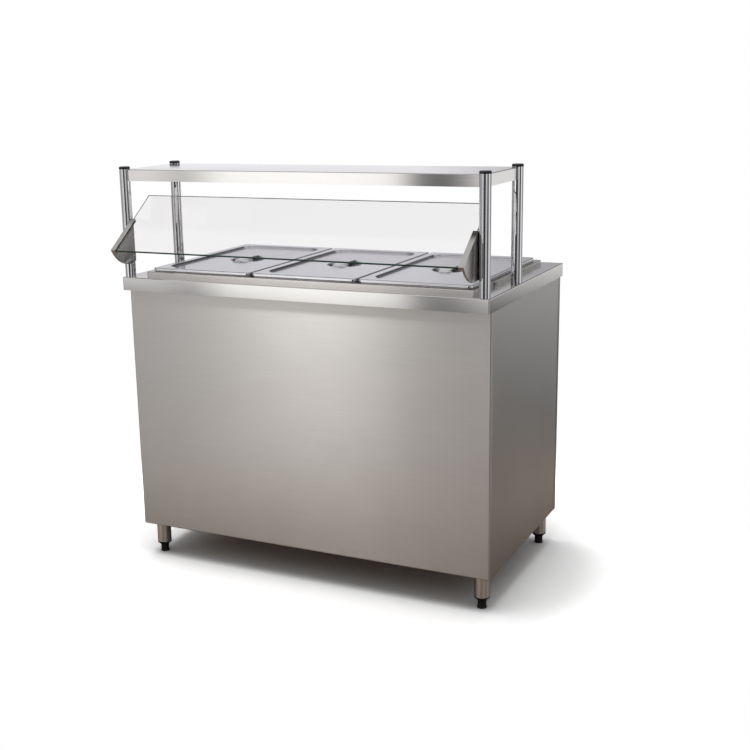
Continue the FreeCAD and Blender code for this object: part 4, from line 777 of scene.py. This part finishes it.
class COUNTER_OT_controls(bpy.types.Operator):
    """Dresses the fascia with its thermostat, switch, lamp and gland, and prints the dial"""
    bl_idname = "counter.controls"
    bl_label = "Controls"

    def execute(self, context):
        skin("control_fascia", MATERIALS["satin_x"])
        skin("thermostat_body", MATERIALS["phenolic"])
        skin("thermostat_knob", MATERIALS["phenolic"])
        skin("switch_housing", MATERIALS["black"])
        skin("switch_rocker", MATERIALS["rocker"])
        skin("lamp_bezel", MATERIALS["plate"])
        skin("lamp_lens", MATERIALS["amber"])
        skin("cable_gland", MATERIALS["black"])
        self.dial(context.scene.counter_detail)
        self.marks()
        return {"FINISHED"}

    def dial(self, detail):
        """Ticks and figures printed round the knob, and the white line in its pointer."""
        low, high = (Vector(corner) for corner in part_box("thermostat_knob"))
        middle = (low + high) / 2
        wall = max(box[1].y for box in islands("panel_screws")) - SCREW_HEIGHT * MM
        centre = Vector((middle.x, wall, middle.z))
        # The knob turns clockwise from straight up
        aims = [Vector((-math.sin(turn), 0.0, math.cos(turn)))
                for turn in (math.radians(DIAL_SWEEP * i / DIAL_STEPS) for i in range(DIAL_STEPS + 1))]
        template = block("tick_template", (-TICK_WIDTH / 2, -INK, 0.0), (TICK_WIDTH / 2, INK, TICK_LENGTH))
        values = {"Shape": template, "Spin": 0.0, "Finish": MATERIALS["ink"]}
        spots = [centre + aim * detail.dial_radius for aim in aims]
        ticks = grown("dial_ticks", spots, [], copies_tree(), values, aims)
        dropped(template)
        placed(ticks, None, NODE_BODY["control_fascia"])
        step = DIAL_STEPS // (len(DIAL_FIGURES) - 1)
        far = detail.dial_radius + detail.figure_height * FIGURE_REACH
        words = [(text, towards_server(centre + aims[i * step] * far)) for i, text in enumerate(DIAL_FIGURES)]
        figures = lettering("dial_figures", words, detail.figure_height)
        placed(figures, MATERIALS["ink"], NODE_BODY["control_fascia"])
        # Paint in the pointer's groove, just under the knob's face
        start = Vector((middle.x, high.y, middle.z)) + POINTER_START
        line = block("pointer_line", start, start + POINTER_LINE)
        placed(line, MATERIALS["paint"], NODE_BODY["thermostat_knob"])

    def marks(self):
        """On and off marks on the two faces of the rocker."""
        rocker = frame["nodes"]["switch_rocker"].data
        words = []
        for text, above in (("O", True), ("I", False)):
            faces = [polygon for polygon in rocker.polygons
                     if polygon.normal.y > TO_SERVER and (polygon.normal.z < ROCKER_TILT) == above]
            best = max(faces, key=lambda polygon: polygon.area).normal.copy()
            same = [polygon for polygon in faces if polygon.normal.dot(best) > ONE_PLANE]
            corners = [rocker.vertices[i].co for polygon in same for i in polygon.vertices]
            spot = (Vector(map(min, *corners)) + Vector(map(max, *corners))) / 2
            turn = Vector((0, 1, 0)).rotation_difference(best).to_matrix().to_4x4()
            words.append((text, Matrix.Translation(spot) @ turn @ towards_server((0, 0, 0))))
        signs = lettering("rocker_marks", words, ROCKER_SIGN)
        placed(signs, MATERIALS["paint"], NODE_BODY["switch_rocker"])


class COUNTER_OT_legs(bpy.types.Operator):
    """Dresses the legs, their inserts and the levelling feet"""
    bl_idname = "counter.legs"
    bl_label = "Legs and feet"

    def execute(self, context):
        for corner in CORNERS:
            skin("leg_" + corner, MATERIALS["leg"])
            skin("foot_" + corner, MATERIALS["black"])
        skin("foot_inserts", MATERIALS["black"])
        return {"FINISHED"}


class COUNTER_OT_gantry(bpy.types.Operator):
    """Dresses the posts, their caps and the overshelf"""
    bl_idname = "counter.gantry"
    bl_label = "Gantry"

    def execute(self, context):
        for corner in CORNERS:
            skin("post_" + corner, MATERIALS["tube"])
        skin("post_caps", MATERIALS["cap"])
        skin("overshelf", MATERIALS["top"])
        return {"FINISHED"}


class COUNTER_OT_glass(bpy.types.Operator):
    """Dresses the sneeze glass, its brackets and strips"""
    bl_idname = "counter.glass"
    bl_label = "Sneeze glass"

    def execute(self, context):
        glass = skin("sneeze_glass", MATERIALS["glass"], GLASS_CREASE)
        # The light that clear glass lets through would be lost as a shadow on the lids
        glass.visible_shadow = False
        glass.data.materials.append(MATERIALS["glass_edge"])
        face = max(glass.data.polygons, key=lambda polygon: polygon.area).normal.copy()
        for polygon in glass.data.polygons:
            polygon.material_index = int(abs(polygon.normal.dot(face)) < SHEET_FACE)
        for side in SIDES:
            skin("glass_bracket_" + side, MATERIALS["bracket"])
        skin("glass_seals", MATERIALS["rubber"])
        return {"FINISHED"}


class COUNTER_OT_fasteners(bpy.types.Operator):
    """Sets pan-head screws and hexagon bolts where the CAD has them"""
    bl_idname = "counter.fasteners"
    bl_label = "Fasteners"

    def execute(self, context):
        self.set_in("panel_screws", screw_template(), SCREW_HEIGHT * MM)
        self.set_in("frame_bolts", bolt_template(), BOLT_HEIGHT * MM)
        return {"FINISHED"}

    def set_in(self, name, template, height):
        """Stands a fastener on each of the node's places, its head as in the CAD, turned at random."""
        spots, aims = [], []
        for low, high in islands(name):
            middle = (low + high) / 2
            size = list(high - low)
            axis = size.index(max(size))
            aim = Vector((0, 0, 0))
            # Heads look inwards at the brackets, to the server on the fascia, down at posts and up at legs
            aim[axis] = (-math.copysign(1, middle.x), 1.0, -1.0 if middle.z > POSTS_ABOVE else 1.0)[axis]
            tip = middle + aim * (size[axis] / 2)
            spots.append(tip - aim * height)
            aims.append(aim)
        values = {"Shape": template, "Spin": math.tau, "Finish": MATERIALS["bolt"]}
        piece = smoothed(grown(name + "_set", spots, [], copies_tree(), values, aims), FASTENER_CREASE)
        dropped(template)
        placed(piece, None, NODE_BODY[name], [name])


# Stage: white floor and backdrop, a painted studio for the steel, soft lamps and the camera
WHITE = (1, 1, 1, 1)
WARM_FLOOR = (*linear("#908175"), 1)
FLOOR_RADIUS = 1.6
FLOOR_SIDES = 96
# Distances from the middle, the floor's paleness there, and where it turns into blank white
PALE_RING = (0.7, 1.4)
PALENESS = (1.5, 4.0)
BLANK_RING = (0.85, 1.3)
# Azimuth in degrees from straight in front of the counter, positive to the customer's right, and brightness
STUDIO_ROUND = ((-180, 0.52), (-163, 0.49), (-157, 0.83), (-130, 0.70), (-112, 0.40), (-95, 0.35),
                (-75, 0.42), (-57, 0.34), (-46, 0.52), (-40, 0.70), (-34.8, 0.90), (-34.5, 0.46),
                (-32, 0.38), (-20.6, 0.36), (-19.4, 0.95), (-12, 0.90), (-8, 0.06), (4, 0.02), (20, 0.03),
                (29, 0.35), (38, 0.80), (48, 0.75), (58, 0.30), (66, 0.08), (80, 0.08), (91, 0.60),
                (101, 1.10), (118, 1.10), (127, 0.11), (172, 0.11), (180, 0.52))
# Sine of the elevation and brightness, and the tint below and above the horizon
STUDIO_RISE = ((-1.0, 0.4), (-0.4, 0.44), (-0.21, 0.56), (-0.16, 0.96), (-0.08, 1.08), (0.0, 1.6),
               (0.08, 1.12), (0.17, 0.86), (0.3, 0.72), (0.7, 0.35), (1.0, 0.25))
STUDIO_TINTS = ((1.0, 0.99, 1.0), (1.0, 0.99, 1.04))
# Soft boxes, in degrees: left and right edge and how soft these are, lower and upper edge likewise, and
# brightness. The negative one is a dark flag, and the last one the ceiling
STUDIO_BOXES = (((-32.9, -23.2, 1.3, 0.7), (-15.0, 32.0, 6.0, 10.0), 1.02),
                ((-29.8, -25.4, 2.0, 1.5), (-22.0, -9.5, 5.0, 3.0), 0.22),
                ((150.0, 170.0, 5.0, 6.0), (-9.4, 8.0, 2.0, 5.0), 0.82),
                ((-22.9, -20.0, 0.5, 0.3), (-7.5, 5.0, 1.5, 2.0), -0.36),
                ((-200.0, 200.0, 1.0, 1.0), (44.0, 100.0, 17.0, 1.0), 0.62))
# What lights matt surfaces: share of the way from straight down to straight up, and brightness
DOME = ((0.62, 0.0), (0.75, 0.3), (1.0, 0.5))
# Lamps: name, place, target, width, height and watts
TOP_LAMP = ("top_soft_box", (-0.2, -0.1, 3.0), (0.0, 0.0, 0.0), 2.6, 2.2, 75.0)
FRONT_LAMP = ("front_soft_box", (-0.79, -1.25, 2.10), (-0.1, -0.25, 0.65), 0.5, 0.3, 29.5)
FRONT_LIT = ("front_panel", "side_panel_left", "side_panel_right")
# The photograph's camera: metres, radians, and millimetres of lens
CAMERA_PLACE = (1.5143, -3.0376, 1.3799)
CAMERA_YAW = -0.468
CAMERA_PITCH = 0.24
CAMERA_ROLL = -0.0227
CAMERA_LENS = 57.06
CAMERA_SENSOR = 36.0
CAMERA_SHIFT = (0.0545, 0.0028)


class COUNTER_OT_stage(bpy.types.Operator):
    """Makes the floor, the world, the lamps and the camera"""
    bl_idname = "counter.stage"
    bl_label = "Stage"

    def execute(self, context):
        scene = context.scene
        scene.view_settings.view_transform = "Standard"
        self.floor()
        self.world(scene)
        self.lamp(*TOP_LAMP)
        self.front_lamp()
        self.camera(scene)
        return {"FINISHED"}

    def floor(self):
        """A wide pale floor, white to the camera apart from the shadow, and blank white far out."""
        shape = bmesh.new()
        bmesh.ops.create_circle(shape, cap_ends=True, segments=FLOOR_SIDES, radius=FLOOR_RADIUS)
        mesh = bpy.data.meshes.new("studio_floor")
        shape.to_mesh(mesh)
        shape.free()
        floor = shown("studio_floor", mesh)
        made, tree, spot = surface("pale_studio_floor")
        path = node(tree, "ShaderNodeLightPath").outputs
        camera, through = path["Is Camera Ray"], path["Is Transmission Ray"]
        seen = node(tree, "ShaderNodeMath", (camera, through), operation="MAXIMUM")
        away = node(tree, "ShaderNodeVectorMath", (spot,), operation="LENGTH").outputs["Value"]
        pale = node(tree, "ShaderNodeMapRange", (away, *PALE_RING, *PALENESS))
        tone = node(tree, "ShaderNodeMix", {0: seen, 6: WARM_FLOOR, 7: pale}, data_type="RGBA").outputs[2]
        matt = node(tree, "ShaderNodeBsdfDiffuse", {"Color": tone})
        white = node(tree, "ShaderNodeEmission", {"Color": WHITE, "Strength": 1.0})
        far = node(tree, "ShaderNodeMapRange", (away, *BLANK_RING), interpolation_type="SMOOTHSTEP")
        far = node(tree, "ShaderNodeMath", (far, camera), operation="MULTIPLY")
        blank = node(tree, "ShaderNodeMath", (far, through), operation="MAXIMUM")
        whole = node(tree, "ShaderNodeMixShader", (blank, matt, white))
        node(tree, "ShaderNodeOutputMaterial", {"Surface": whole})
        mesh.materials.append(made)

    def world(self, scene):
        """White to the camera and through glass; a studio with soft walls and dark flags in the steel."""
        world = bpy.data.worlds.new("studio")
        scene.world = world
        world.use_nodes = True
        tree = world.node_tree
        tree.nodes.clear()
        way = node(tree, "ShaderNodeTexCoord").outputs["Generated"]
        axes = node(tree, "ShaderNodeSeparateXYZ", (way,)).outputs
        ahead = node(tree, "ShaderNodeMath", (axes["Y"], -1.0), operation="MULTIPLY")
        around = node(tree, "ShaderNodeMath", (axes["X"], ahead), operation="ARCTAN2")
        lift = node(tree, "ShaderNodeMath", (axes["Z"],), operation="ARCSINE")
        share = node(tree, "ShaderNodeMapRange", (around, -math.pi, math.pi))
        height = node(tree, "ShaderNodeMapRange", (axes["Z"], -1.0, 1.0))
        walls = node(tree, "ShaderNodeValToRGB", (share,),
                     [((turn + 180) / 360, [value] * 3) for turn, value in STUDIO_ROUND])
        rise = node(tree, "ShaderNodeValToRGB", (height,),
                    [((sine + 1) / 2, [value * c for c in STUDIO_TINTS[sine > 0]])
                     for sine, value in STUDIO_RISE])
        studio = node(tree, "ShaderNodeMix", {0: 1.0, 6: walls, 7: rise}, data_type="RGBA",
                      blend_type="MULTIPLY").outputs[2]
        for sides, ends, glow in STUDIO_BOXES:
            pane = (self.window(tree, around, *sides), self.window(tree, lift, *ends))
            shine = node(tree, "ShaderNodeMath", pane, operation="MULTIPLY")
            shine = node(tree, "ShaderNodeMath", (shine, glow), operation="MULTIPLY")
            studio = node(tree, "ShaderNodeMix", {0: 1.0, 6: studio, 7: shine}, data_type="RGBA",
                          blend_type="ADD").outputs[2]
        dome = node(tree, "ShaderNodeValToRGB", (height,), [(place, [value] * 3) for place, value in DOME])
        soft, steel, white = [node(tree, "ShaderNodeBackground", {"Color": colour})
                              for colour in (dome, studio, WHITE)]
        path = node(tree, "ShaderNodeLightPath").outputs
        seen = (path["Is Camera Ray"], path["Is Transmission Ray"])
        seen = node(tree, "ShaderNodeMath", seen, operation="MAXIMUM")
        mixed = node(tree, "ShaderNodeMixShader", (path["Is Glossy Ray"], soft, steel))
        whole = node(tree, "ShaderNodeMixShader", (seen, mixed, white))
        node(tree, "ShaderNodeOutputWorld", {"Surface": whole})

    def window(self, tree, angle, low, high, low_fade, high_fade):
        """1 between two angles in degrees and 0 outside them, with soft edges."""
        rising = (math.radians(low - low_fade), math.radians(low + low_fade))
        falling = (math.radians(high + high_fade), math.radians(high - high_fade))
        edges = [node(tree, "ShaderNodeMapRange", (angle, *edge), interpolation_type="SMOOTHSTEP")
                 for edge in (rising, falling)]
        return node(tree, "ShaderNodeMath", edges, operation="MULTIPLY")

    def lamp(self, name, place, target, width, height, watts):
        """A soft box aimed at a point. The steel mirrors the painted studio instead of it."""
        data = bpy.data.lights.new(name, "AREA")
        data.shape = "RECTANGLE"
        data.size = width
        data.size_y = height
        data.energy = watts
        lamp = bpy.data.objects.new(name, data)
        bpy.context.scene.collection.objects.link(lamp)
        lamp.location = place
        lamp.rotation_euler = (Vector(target) - Vector(place)).to_track_quat("-Z", "Y").to_euler()
        lamp.visible_glossy = False
        lamp.visible_transmission = False
        return lamp

    def front_lamp(self):
        """A narrow soft box high in front. It grazes the shell alone and leaves the overhang's shadow."""
        lamp = self.lamp(*FRONT_LAMP)
        lamp.visible_glossy = True
        lamp.visible_diffuse = False
        shell = bpy.data.collections.new("front_soft_box_lights")
        for name in FRONT_LIT:
            shell.objects.link(bpy.data.objects[name + "_skin"])
        lamp.light_linking.receiver_collection = shell

    def camera(self, scene):
        """The photograph's view: place, turn and lens."""
        data = bpy.data.cameras.new("photo_camera")
        data.sensor_fit = "HORIZONTAL"
        data.sensor_width = CAMERA_SENSOR
        data.lens = CAMERA_LENS
        data.shift_x, data.shift_y = CAMERA_SHIFT
        camera = bpy.data.objects.new("photo_camera", data)
        scene.collection.objects.link(camera)
        level = math.cos(CAMERA_PITCH)
        ahead = Vector((math.sin(CAMERA_YAW) * level, math.cos(CAMERA_YAW) * level, -math.sin(CAMERA_PITCH)))
        right = Vector((math.cos(CAMERA_YAW), -math.sin(CAMERA_YAW), 0.0))
        up = right.cross(ahead)
        tilted = math.cos(CAMERA_ROLL) * right + math.sin(CAMERA_ROLL) * up
        upright = -math.sin(CAMERA_ROLL) * right + math.cos(CAMERA_ROLL) * up
        turn = Matrix((tilted, upright, -ahead)).transposed().to_4x4()
        camera.matrix_world = Matrix.Translation(CAMERA_PLACE) @ turn
        scene.camera = camera


class COUNTER_PT_panel(bpy.types.Panel):
    """Lists the counter's operators"""
    bl_idname = "COUNTER_PT_panel"
    bl_label = "Bain marie counter"
    bl_space_type = "VIEW_3D"
    bl_region_type = "UI"
    bl_category = "Counter"

    def draw(self, context):
        for group in (context.scene.counter_finish, context.scene.counter_detail):
            for name in group.__annotations__:
                self.layout.prop(group, name)
        for operator in OPERATORS:
            self.layout.operator(operator.bl_idname)


OPERATORS = (COUNTER_OT_materials, COUNTER_OT_worktop, COUNTER_OT_well, COUNTER_OT_pans, COUNTER_OT_cabinet,
             COUNTER_OT_doors, COUNTER_OT_controls, COUNTER_OT_legs, COUNTER_OT_gantry, COUNTER_OT_glass,
             COUNTER_OT_fasteners, COUNTER_OT_stage)
CLASSES = (CounterFinish, CounterDetail, *OPERATORS, COUNTER_PT_panel)


def register():
    for kind in CLASSES:
        bpy.utils.register_class(kind)
    bpy.types.Scene.counter_finish = bpy.props.PointerProperty(type=CounterFinish)
    bpy.types.Scene.counter_detail = bpy.props.PointerProperty(type=CounterDetail)


def unregister():
    del bpy.types.Scene.counter_detail
    del bpy.types.Scene.counter_finish
    for kind in reversed(CLASSES):
        bpy.utils.unregister_class(kind)


def main():
    register()
    for operator in OPERATORS:
        group, name = operator.bl_idname.split(".")
        getattr(getattr(bpy.ops, group), name)()


if __name__ == "__main__":
    main()
